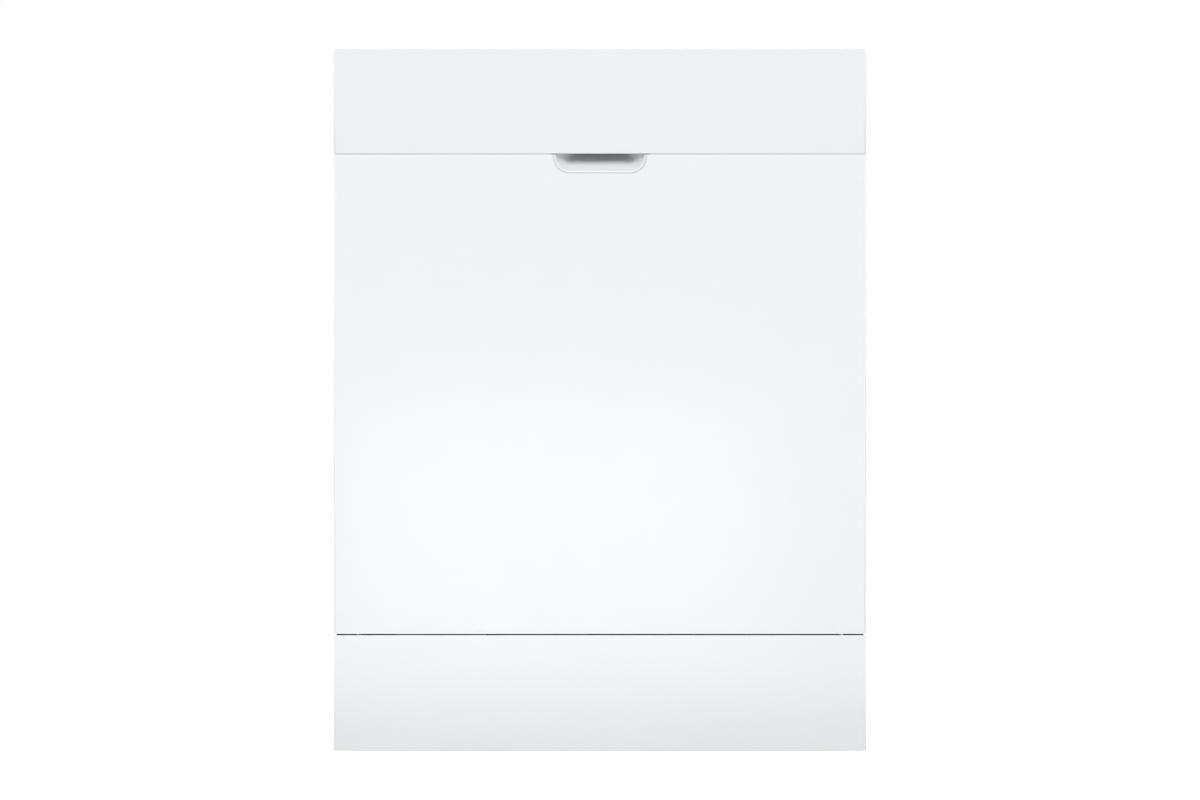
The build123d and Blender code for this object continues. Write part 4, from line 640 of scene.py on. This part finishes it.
folding = wire_curve("folding_tine_wires")
strand(folding, [(FOLD_X, end_y, FOLD_Z) for end_y in FOLD_ENDS], 0.0024)
for tine_y in TINE_YS:
    tine(folding, FOLD_X, tine_y, FOLD_Z)
piece("folding_tine_wires", folding, "tine_row", "rack_coating", ["folding_tines"])

UPPER_RIM = 0.6325
upper = rack("upper_rack_wires", half=0.233, front=-0.213, rear=0.223,
             floor=0.5066, middle=0.570, top=UPPER_RIM)
piece("upper_rack_wires", upper, "top_rack", "rack_coating", ["upper_rack"])

SHELF_X = -0.226
SHELF_Z = 0.605
SHELF_EDGE_X = -0.132
SHELF_MIDDLE_X = -0.178
SHELF_FRONT = -0.096
SHELF_REAR = 0.106
SHELF_PITCH = 0.02525
SHELF_ROD_ENDS = (-0.110, 0.120)
SHELF_ROD_R = 0.0019
SHELF_WIRE_R = 0.0013
SHELF_LUG_YS = (-0.104, 0.114)
shelf_lug = eye_lug(0.0095, 0.0021)
fittings = []
for lug_y in SHELF_LUG_YS:
    fittings.append((shelf_lug, facing((SHELF_X, lug_y, SHELF_Z), (0, 0, 1), (1, 0, 0))))
fittings.append((grip_bar, facing((0, -0.2145, UPPER_RIM), *TO_FRONT)))
piece("upper_rack_fittings", merged("upper_rack_fittings", fittings), "top_rack",
      "grey_plastic", ["upper_rack"])

shelf = wire_curve("cup_shelf_wires")
strand(shelf, [(SHELF_X, end_y, SHELF_Z) for end_y in SHELF_ROD_ENDS], SHELF_ROD_R)
edge_line = [(SHELF_X, SHELF_FRONT, SHELF_Z), (SHELF_EDGE_X, SHELF_FRONT, SHELF_Z),
             (SHELF_EDGE_X, SHELF_REAR, SHELF_Z), (SHELF_X, SHELF_REAR, SHELF_Z)]
strand(shelf, rounded(edge_line, 0.014, steps=6), SHELF_ROD_R)
for k in range(1, 8):
    shelf_y = SHELF_FRONT + k * SHELF_PITCH
    strand(shelf, [(x, shelf_y, SHELF_Z) for x in (SHELF_X, SHELF_EDGE_X)], SHELF_WIRE_R)
under_z = SHELF_Z - 0.0008
strand(shelf, [(SHELF_MIDDLE_X, y, under_z) for y in (SHELF_FRONT, SHELF_REAR)], SHELF_WIRE_R)
piece("cup_shelf_wires", shelf, "shelf", "rack_coating", ["cup_shelf"])


# Cutlery basket: slotted walls, two dividers and a sieve floor

BASKET_WALL = 0.002
HALF_WALL = BASKET_WALL / 2
SLOT_ROUND = 0.45


def slotted(width, height, columns, rows, bar, rim):
    """A moulded wall: slots in columns and rows, with bars between them and a rim round them."""
    outlines = [oblong(0, 0, width, height, 0.002)]
    step_x = (width - 2 * rim + bar) / columns
    step_y = (height - 2 * rim + bar) / rows
    slot_x, slot_y = step_x - bar, step_y - bar
    for i in range(columns):
        for k in range(rows):
            x = rim - width / 2 + (i + 0.5) * step_x - bar / 2
            y = rim - height / 2 + (k + 0.5) * step_y - bar / 2
            outlines.append(oblong(x, y, slot_x, slot_y, min(slot_x, slot_y) * SLOT_ROUND))
    return plate(outlines, BASKET_WALL, 0.0004)


basket_low, basket_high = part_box("cutlery_basket")
basket_size = basket_high - basket_low
basket_mid = (basket_low + basket_high) / 2
long_wall = slotted(basket_size.x, basket_size.z, columns=21, rows=3, bar=0.0035, rim=0.006)
end_wall = slotted(basket_size.y, basket_size.z, columns=8, rows=3, bar=0.0035, rim=0.006)
divider = slotted(basket_size.y - 0.003, basket_size.z - 0.004,
                  columns=5, rows=2, bar=0.006, rim=0.008)
sieve = slotted(basket_size.x, basket_size.y, columns=22, rows=9, bar=0.0035, rim=0.005)
sieve_z = basket_low.z + HALF_WALL
walls = [(sieve, facing((basket_mid.x, basket_mid.y, sieve_z), *TO_TOP))]
for wall_y in (basket_low.y + HALF_WALL, basket_high.y - HALF_WALL):
    walls.append((long_wall, facing((basket_mid.x, wall_y, basket_mid.z), *TO_FRONT)))
for wall_x in (basket_low.x + HALF_WALL, basket_high.x - HALF_WALL):
    walls.append((end_wall, facing((wall_x, basket_mid.y, basket_mid.z), *TO_RIGHT)))
for k in (1, 2):
    divider_x = basket_low.x + k * (basket_size.x - BASKET_WALL) / 3 + HALF_WALL
    walls.append((divider, facing((divider_x, basket_mid.y, basket_mid.z - 0.001), *TO_RIGHT)))
piece("slotted_basket", merged("slotted_basket", walls), "bottom_rack",
      SLOT_OF["cutlery_basket"], ["cutlery_basket"])


# Door springs: close coils with a hook at each end, the upper hook reaching up to the door's lever

SPRING_X = 0.2715
SPRING_Y = -0.269
SPRING_WIRE_R = 0.00125
LOWER_HOOK = (0.021, 0.0425)
COIL_LOW = 0.0462
COIL_HIGH = 0.1243
COIL_R = 0.00675
COIL_STEPS = 14
COIL_COUNT = 29 * COIL_STEPS
UPPER_HOOK = 0.1262
UPPER_HOOK_RISE = 0.0113
springs = wire_curve("door_spring_coils", 1)
for side in (-1, 1):
    spring_x = side * SPRING_X
    line = [(spring_x, SPRING_Y, hook_z) for hook_z in LOWER_HOOK]
    for k in range(COIL_COUNT + 1):
        turn = 2 * math.pi * k / COIL_STEPS
        line.append((spring_x + COIL_R * math.cos(turn), SPRING_Y + COIL_R * math.sin(turn),
                     COIL_LOW + (COIL_HIGH - COIL_LOW) * k / COIL_COUNT))
    line += [(spring_x, SPRING_Y, UPPER_HOOK + UPPER_HOOK_RISE * k / 15) for k in range(16)]
    strand(springs, line, SPRING_WIRE_R)
spring_mesh = merged("door_spring_coils", [(as_mesh(springs), UNMOVED)])
spring_piece = bpy.data.objects.new("door_spring_coils", spring_mesh)
scene.collection.objects.link(spring_piece)
paint(spring_piece, MATERIALS["spring_steel"])
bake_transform(spring_piece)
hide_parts("door_springs")


# Front trim: the grip's scoop, finger box and rim, a grey strip painting shade in the fascia's seam,
# and stops in the low gap

GRIP_HALF = 0.0525
GRIP_LOW = 0.6475
GRIP_CORNER = 0.018
LEAST_CORNER = 0.004
CORNER_SHRINK = 0.857
GRIP_CEILING = 0.6694
FINGER_TOP = 0.7034
SCOOP_INSET = 0.012
FINGER_INSET = 0.021
BACK_TAPER = 0.05
SHEET_BACK = 0.0012
SHELL = 0.0016
RIM_R = 0.0014
SCOOP_INSETS = (0.0, 0.0004, 0.001, 0.002, 0.0032, 0.0045, 0.006, 0.0075, 0.009, 0.0105, 0.012)
FINGER_INSETS = (0.013, 0.0145, 0.016, 0.018, 0.0195, 0.021, 0.024, 0.028, 0.034, 0.042, 0.050)


def grip_line(inset, depth, top):
    """The grip's outline, smaller by an inset, behind the front: down, round and up again."""
    half = GRIP_HALF - min(inset, FINGER_INSET) - BACK_TAPER * max(0.0, inset - FINGER_INSET)
    low = GRIP_LOW + inset
    corner = max(GRIP_CORNER - inset * CORNER_SHRINK, LEAST_CORNER)
    flat = half - corner
    bend = low + corner
    angles = [math.pi * k / 20 for k in range(11)]
    line = [(-half, top + (bend - top) * k / 6) for k in range(6)]
    line += [(-flat - corner * math.cos(a), bend - corner * math.sin(a)) for a in angles[:-1]]
    line += [(-flat + 2 * flat * k / 20, low) for k in range(21)]
    line += [(flat + corner * math.sin(a), bend - corner * math.cos(a)) for a in angles[1:]]
    line += [(half, bend + (top - bend) * k / 6) for k in range(1, 7)]
    return [Vector((x, FRONT + depth, z)) for x, z in line]


def scoop_depth(inset):
    """How deep the hollow is at an inset: an even slope, then a steeper one to the upright back."""
    depth = SHEET_BACK + 0.69 * min(inset, SCOOP_INSET)
    depth += 0.9 * max(0.0, min(inset, FINGER_INSET) - SCOOP_INSET)
    return depth + 0.010 * (1 - math.exp(min(0.0, FINGER_INSET - inset) / 0.01))


def grip_shell():
    """The scoop as a moulded shell, with a flange behind the panel."""
    rows = [grip_line(inset, SHEET_BACK, PANEL_TOP) for inset in (-0.005, -0.0005)]
    rows += [grip_line(inset, scoop_depth(inset), GRIP_CEILING) for inset in SCOOP_INSETS]
    rows += [grip_line(inset, scoop_depth(inset), FINGER_TOP) for inset in FINGER_INSETS]
    form = bmesh.new()
    grid = [[form.verts.new(place) for place in row] for row in rows]
    for low, high in zip(grid, grid[1:]):
        for k in range(len(low) - 1):
            form.faces.new((low[k], low[k + 1], high[k + 1], high[k]))
    bmesh.ops.recalc_face_normals(form, faces=form.faces)
    bmesh.ops.solidify(form, geom=form.faces[:], thickness=SHELL)
    mesh = bpy.data.meshes.new("grip_shell")
    form.to_mesh(mesh)
    form.free()
    return mesh


BOX_WIDTH = 0.083
BOX_HEIGHT = 0.0342
BOX_Y = FRONT + 0.018
BOX_Z = 0.6872
BOX_WALL = 0.002
BOX_SIDE_WALL = 0.0018
BOX_EDGE = 0.0004


def box_wall(width, height, thick):
    """One wall of the finger box."""
    return plate([oblong(0, 0, width, height, 0.001)], thick, BOX_EDGE)


shell_parts = [(grip_shell(), UNMOVED)]
front_wall = box_wall(BOX_WIDTH, BOX_HEIGHT, BOX_WALL)
shell_parts.append((front_wall, facing((0, FRONT + 0.006, BOX_Z), *TO_FRONT)))
lid_wall = box_wall(BOX_WIDTH, 0.026, BOX_WALL)
shell_parts.append((lid_wall, facing((0, BOX_Y, 0.7042), *TO_TOP)))
side_wall = box_wall(0.025, BOX_HEIGHT, BOX_SIDE_WALL)
ledge = box_wall(0.0135, 0.020, BOX_SIDE_WALL)
for side in (-1, 1):
    shell_parts.append((side_wall, facing((side * 0.0410, BOX_Y, BOX_Z), *TO_RIGHT)))
    shell_parts.append((ledge, facing((side * 0.0470, FRONT + 0.0135, 0.6706), *TO_TOP)))
# The scoop's darker plastic is painted shade in the hollow.
piece("grip_scoop", merged("grip_scoop", shell_parts), "door", SLOT_OF["handle_pocket"],
      ["handle_pocket"], GRIP_PAINTED_SHADE)

rim = wire_curve("grip_rim", 3)
strand(rim, grip_line(RIM_R * 1.12, RIM_R, PANEL_TOP), RIM_R)
piece("grip_rim", rim, "door", "white_plastic")

SEAM_X = 0.1762
SEAM_Z = 0.669
# A thin grey strip just behind the front in the fascia's seam: painted shade that makes the seam
# read darker.
seam = plate([oblong(0, 0, 0.2415, 0.0009, 0.0003)], 0.0006, 0.0001)
seam_shade_bars = [(seam, facing((side * SEAM_X, FRONT + 0.0008, SEAM_Z), *TO_FRONT)) for side in (-1, 1)]
piece("seam_shade_strip", merged("seam_shade_strip", seam_shade_bars), "door", "control_plastic")

STOP_CORNERS = ((-0.0043, 0, 0), (0.0043, 0, 0), (0.0043, 0.0075, 0), (-0.0043, 0.0062, 0))
STOP_X = 0.2908
stop = plate([rounded(STOP_CORNERS, 0.0012, closed=True)], 0.0136, 0.0005)
stops = [(stop, facing((side * STOP_X, -0.2425, 0.125), *TO_RIGHT)) for side in (1, -1)]
piece("gap_stops", merged("gap_stops", stops), "cabinet", "seal")


# Cabinet trim: pressed beads and screws on the sheet panels

HEAD_R = 0.0039
BEAD_THICK = 0.0024
BEAD_EDGE = 0.0011
BEAD_CORNER = 0.05
BEAD_WIDTH = 0.02
PANEL_MID_Y = 0.03
SIDE_MID_Z = 0.46
SIDE_SCREWS = ((-0.215, 0.225), (-0.215, 0.5), (-0.215, 0.762), (0.268, 0.06), (0.268, 0.42),
               (0.268, 0.762), (-0.12, 0.06), (0.1, 0.06))


def screw_head():
    """A pan head with a cross recess, flat side at z = 0."""
    arm, slot = 0.0021, 0.0005
    cross = [(-slot, -arm), (slot, -arm), (slot, -slot), (arm, -slot), (arm, slot), (slot, slot),
             (slot, arm), (-slot, arm), (-slot, slot), (-arm, slot), (-arm, -slot), (-slot, -slot)]
    cap = plate([ring_line(0, 0, HEAD_R, 24), cross], 0.0012, 0.0004)
    base = turned([(HEAD_R, 0.0), (HEAD_R, 0.0007)], 24)
    return merged("screw_head", [(base, UNMOVED), (cap, Matrix.Translation((0, 0, 0.0011)))])


def bead(length):
    """A long pressed bead, lying along y, half of it proud."""
    return plate([oblong(0, 0, BEAD_WIDTH, length, BEAD_WIDTH * 0.49)], BEAD_THICK, BEAD_EDGE)


def bead_ring(width, height, band):
    """A pressed frame with round corners, half of it proud."""
    outer = oblong(0, 0, width, height, BEAD_CORNER)
    inner = oblong(0, 0, width - 2 * band, height - 2 * band, BEAD_CORNER - band)
    return plate([outer, inner], BEAD_THICK, BEAD_EDGE)


side_ring = bead_ring(0.40, 0.50, 0.016)
side_bead = bead(0.34)
head = screw_head()
beads, screws = [], []
for side, way in SIDES:
    side_x = side * BODY_HALF
    beads.append((side_ring, facing((side_x, PANEL_MID_Y, SIDE_MID_Z), *way)))
    for bead_y in (-0.07, 0.03, 0.13):
        beads.append((side_bead, facing((side_x, bead_y, SIDE_MID_Z), *way)))
    for screw_y, screw_z in SIDE_SCREWS:
        screws.append((head, facing((side_x, screw_y, screw_z), *way)))
top_ring = bead_ring(0.46, 0.36, 0.018)
top_bead = bead(0.22)
beads.append((top_ring, facing((0, PANEL_MID_Y, CABINET_TOP), *TO_TOP)))
for bead_x in (-0.1, 0.0, 0.1):
    beads.append((top_bead, facing((bead_x, PANEL_MID_Y, CABINET_TOP), *TO_TOP)))
for screw_x in (-0.27, 0.0, 0.27):
    for screw_y in (-0.215, 0.268):
        screws.append((head, facing((screw_x, screw_y, CABINET_TOP), *TO_TOP)))

REAR_MID = 0.47
REAR_SHEET_Y = 0.2845
REAR_FLOOR_Y = 0.2834
BEAD_STEP = 0.06
SERVICE_HOLES = ((0.180, 0.070, 0.022), (-0.1625, 0.150, 0.022), (-0.170, 0.060, 0.009))
rear_outlines = [oblong(0, 0.4015, 0.592, 0.759, 0.002)]
rear_outlines += [ring_line(*hole) for hole in SERVICE_HOLES]
rear_outlines += [oblong(0, REAR_MID, 0.476, 0.496, 0.03), oblong(0, REAR_MID, 0.444, 0.464, 0.02)]
bead_floors = [[oblong(0, REAR_MID, 0.488, 0.508, 0.035), oblong(0, REAR_MID, 0.432, 0.452, 0.015)]]
for k in range(-3, 4):
    rear_outlines.append(oblong(k * BEAD_STEP, REAR_MID, 0.018, 0.36, 0.0085))
    bead_floors.append([oblong(k * BEAD_STEP, REAR_MID, 0.026, 0.368, 0.012)])
rear_parts = [(plate(rear_outlines, 0.001, 0.0002), facing((0, REAR_SHEET_Y, 0), *TO_REAR))]
for bead_floor in bead_floors:
    rear_parts.append((plate(bead_floor, 0.0012, 0.0002), facing((0, REAR_FLOOR_Y, 0), *TO_REAR)))
piece("pressed_rear_panel", merged("pressed_rear_panel", rear_parts), "cabinet",
      "galvanised", ["rear_panel"])
piece("pressed_beads", merged("pressed_beads", beads), "cabinet", "galvanised")
piece("panel_screws", merged("panel_screws", screws), "cabinet", "spring_steel")


# Screw threads on the feet's stems and on the water inlet

THREAD_STEPS = 20
RIDGE_R = 0.0006
FOOT_STEM_R = 0.005
FOOT_X = 0.25
FOOT_Y = 0.24
FOOT_THREADS = (
    ("left_foot_thread", "left_front_foot", "foot_front_left", [(-FOOT_X, -FOOT_Y)]),
    ("right_foot_thread", "right_front_foot", "foot_front_right", [(FOOT_X, -FOOT_Y)]),
    ("rear_feet_threads", "rear_feet", "feet_rear", [(-FOOT_X, FOOT_Y), (FOOT_X, FOOT_Y)]),
)


def thread(curve, centre, along, start, end, radius, pitch):
    """Add to a curve one thread's ridge, wound round a line from start to end."""
    across, over = (along + 1) % 3, (along + 2) % 3
    line = []
    for k in range(int((end - start) / pitch * THREAD_STEPS) + 1):
        angle = 2 * math.pi * k / THREAD_STEPS
        place = Vector((0, 0, 0))
        place[along] = start + pitch * k / THREAD_STEPS
        place[across] = centre[across] + radius * math.cos(angle)
        place[over] = centre[over] + radius * math.sin(angle)
        line.append(place)
    strand(curve, line, RIDGE_R)


for name, body, node_name, stems in FOOT_THREADS:
    ridges = wire_curve(name, 1)
    for stem_x, stem_y in stems:
        thread(ridges, (stem_x, stem_y, 0), along=2, start=0.0112, end=0.084,
               radius=FOOT_STEM_R - 0.0003, pitch=0.0025)
    piece(name, ridges, body, SLOT_OF[node_name])
ridges = wire_curve("inlet_thread", 1)
thread(ridges, (-0.18, 0, 0.07), along=1, start=0.2682, end=0.2842, radius=0.0132, pitch=0.0018)
piece("inlet_thread", ridges, "cabinet", SLOT_OF["inlet_valve"])


# Door details: lid ribs, indicator lenses and the screws on the inner face

RIB_PITCH = 0.0052
LENS_XS = (-0.240, -0.205, -0.170, -0.075)
DOOR_SCREW_X = 0.2885
DOOR_SCREW_ZS = (0.240, 0.440, 0.640)
rib = plate([oblong(0, 0, 0.0024, 0.05, 0.0011)], 0.0018, 0.0007)
ribs = [(rib, facing((-0.100 + RIB_PITCH * k, -0.2286, 0.555), *TO_REAR)) for k in range(5)]
piece("lid_ribs", merged("lid_ribs", ribs), "detergent_lid", SLOT_OF["dispenser_lid"])
lens = plate([oblong(0, 0, 0.0055, 0.0016, 0.0007)], 0.0012, 0.0004)
lenses = [(lens, facing((lens_x, -0.2735, 0.7862), *TO_TOP)) for lens_x in LENS_XS]
piece("indicator_lenses", merged("indicator_lenses", lenses), "door", "window")
door_heads = []
for side in (-1, 1):
    for screw_z in DOOR_SCREW_ZS:
        door_heads.append((head, facing((side * DOOR_SCREW_X, -0.242, screw_z), *TO_REAR)))
piece("door_screw_heads", merged("door_screw_heads", door_heads), "door",
      SLOT_OF["door_screws"], ["door_screws"])


# Spray arm nozzles: a raised collar round each jet

COLLAR_THICK = 0.0024
JET_R = 0.0022


def collars(name, body, node_name, centre_y, top, rise, reach, width):
    """The collars of one arm, round the jets in its solid, standing a little over its top."""
    collar = plate([oblong(0, 0, 0.012, 0.0085, 0.004), ring_line(0, 0, JET_R, 20)],
                   COLLAR_THICK, 0.0005)
    middle = top + rise - COLLAR_THICK / 2
    placed = []
    for k in (-4, -3, -2, -1, 1, 2, 3, 4):
        jet_y = centre_y + width / 6 * (-1) ** k
        placed.append((collar, facing((k * reach / 5, jet_y, middle), *TO_TOP)))
    piece(name, merged(name, placed), body, SLOT_OF[node_name])


collars("lower_arm_jets", "lower_arm", "lower_spray_arm",
        centre_y=0.010, top=0.229, rise=0.0014, reach=0.230, width=0.046)
collars("upper_arm_jets", "top_arm", "upper_spray_arm",
        centre_y=0.005, top=0.490, rise=0.0006, reach=0.205, width=0.040)


# Studio: pale floor, soft lamps, white surroundings

FLOOR_HALF = 12.0


def shown(tree):
    """1 where the camera sees a surface, straight, mirrored or through glass, and 0 for light."""
    path = tree.nodes.new("ShaderNodeLightPath").outputs
    indirect = maths(tree, "MAXIMUM", path["Is Glossy Ray"], path["Is Transmission Ray"])
    return maths(tree, "MAXIMUM", path["Is Camera Ray"], indirect)


def studio_floor():
    """A wide pale floor that reads as white to the camera and keeps the shadow."""
    mesh = bpy.data.meshes.new("floor")
    corners = [(-FLOOR_HALF, -FLOOR_HALF, 0), (FLOOR_HALF, -FLOOR_HALF, 0),
               (FLOOR_HALF, FLOOR_HALF, 0), (-FLOOR_HALF, FLOOR_HALF, 0)]
    mesh.from_pydata(corners, [], [(0, 1, 2, 3)])
    obj = bpy.data.objects.new("floor", mesh)
    scene.collection.objects.link(obj)
    mat = bpy.data.materials.new("pale_floor")
    mat.use_nodes = True
    tree = mat.node_tree
    tree.nodes.clear()
    out = tree.nodes.new("ShaderNodeOutputMaterial")
    diffuse = tree.nodes.new("ShaderNodeBsdfDiffuse")
    diffuse.inputs["Color"].default_value = (0.5, 0.5, 0.5, 1)
    glow = tree.nodes.new("ShaderNodeEmission")
    length = tree.nodes.new("ShaderNodeVectorMath")
    length.operation = "LENGTH"
    tree.links.new(tree.nodes.new("ShaderNodeTexCoord").outputs["Object"], length.inputs[0])
    far = step(tree, length.outputs["Value"], low=1.2, high=3.5)
    white = ramp(tree, far, low=0.8, high=1.0)
    tree.links.new(maths(tree, "MULTIPLY", shown(tree), white), glow.inputs["Strength"])
    both = tree.nodes.new("ShaderNodeAddShader")
    tree.links.new(diffuse.outputs[0], both.inputs[0])
    tree.links.new(glow.outputs[0], both.inputs[1])
    tree.links.new(both.outputs[0], out.inputs["Surface"])
    obj.data.materials.append(mat)


def surroundings(strength):
    """White world: plain white to the camera and in reflections, softer as a light."""
    world = bpy.data.worlds.new("studio")
    scene.world = world
    world.use_nodes = True
    tree = world.node_tree
    back = tree.nodes["Background"]
    back.inputs["Color"].default_value = (1, 1, 1, 1)
    tree.links.new(ramp(tree, shown(tree), strength, 1.0), back.inputs["Strength"])


def lamp(name, place, target, size, power, diffuse=True):
    """A soft square lamp aimed at a point; without diffuse it is only seen in gloss."""
    data = bpy.data.lights.new(name, "AREA")
    data.size = size
    data.energy = power
    obj = bpy.data.objects.new(name, data)
    obj.location = place
    obj.rotation_mode = "QUATERNION"
    obj.rotation_quaternion = (Vector(target) - Vector(place)).to_track_quat("-Z", "Y")
    obj.visible_diffuse = diffuse
    scene.collection.objects.link(obj)


studio_floor()
surroundings(0.34)
lamp("key", (0, -2.4, 2.72), (0, FRONT, 0.4), size=1.6, power=56.0)
lamp("low", (-0.05, -1.5, 0.1), (0, FRONT, 0.18), size=0.6, power=3.7, diffuse=False)
for side in (-1, 1):
    lamp("card", (side * 0.75, -1.0, 0.03), (0, FRONT, 0.3), size=0.5, power=2.2)
lamp("left", (-3.2, -0.4, 1.7), (0, 0, 0.4), size=3.0, power=24.0)
lamp("right", (3.2, -0.4, 1.7), (0, 0, 0.4), size=3.0, power=24.0)
lamp("rear", (0, 3.4, 1.7), (0, 0, 0.4), size=3.0, power=26.0)
lamp("top", (0, 0.3, 3.4), (0, 0, 0.5), size=2.6, power=14.0)

camera = bpy.data.cameras.new("camera")
camera.sensor_width = 36.0
camera.lens = 133.9
camera_object = bpy.data.objects.new("camera", camera)
camera_object.location = (0, FRONT - 5.0, 0.3935)
camera_object.rotation_euler = (math.radians(90), 0, 0)
scene.collection.objects.link(camera_object)
scene.camera = camera_object
scene.view_settings.view_transform = "Standard"
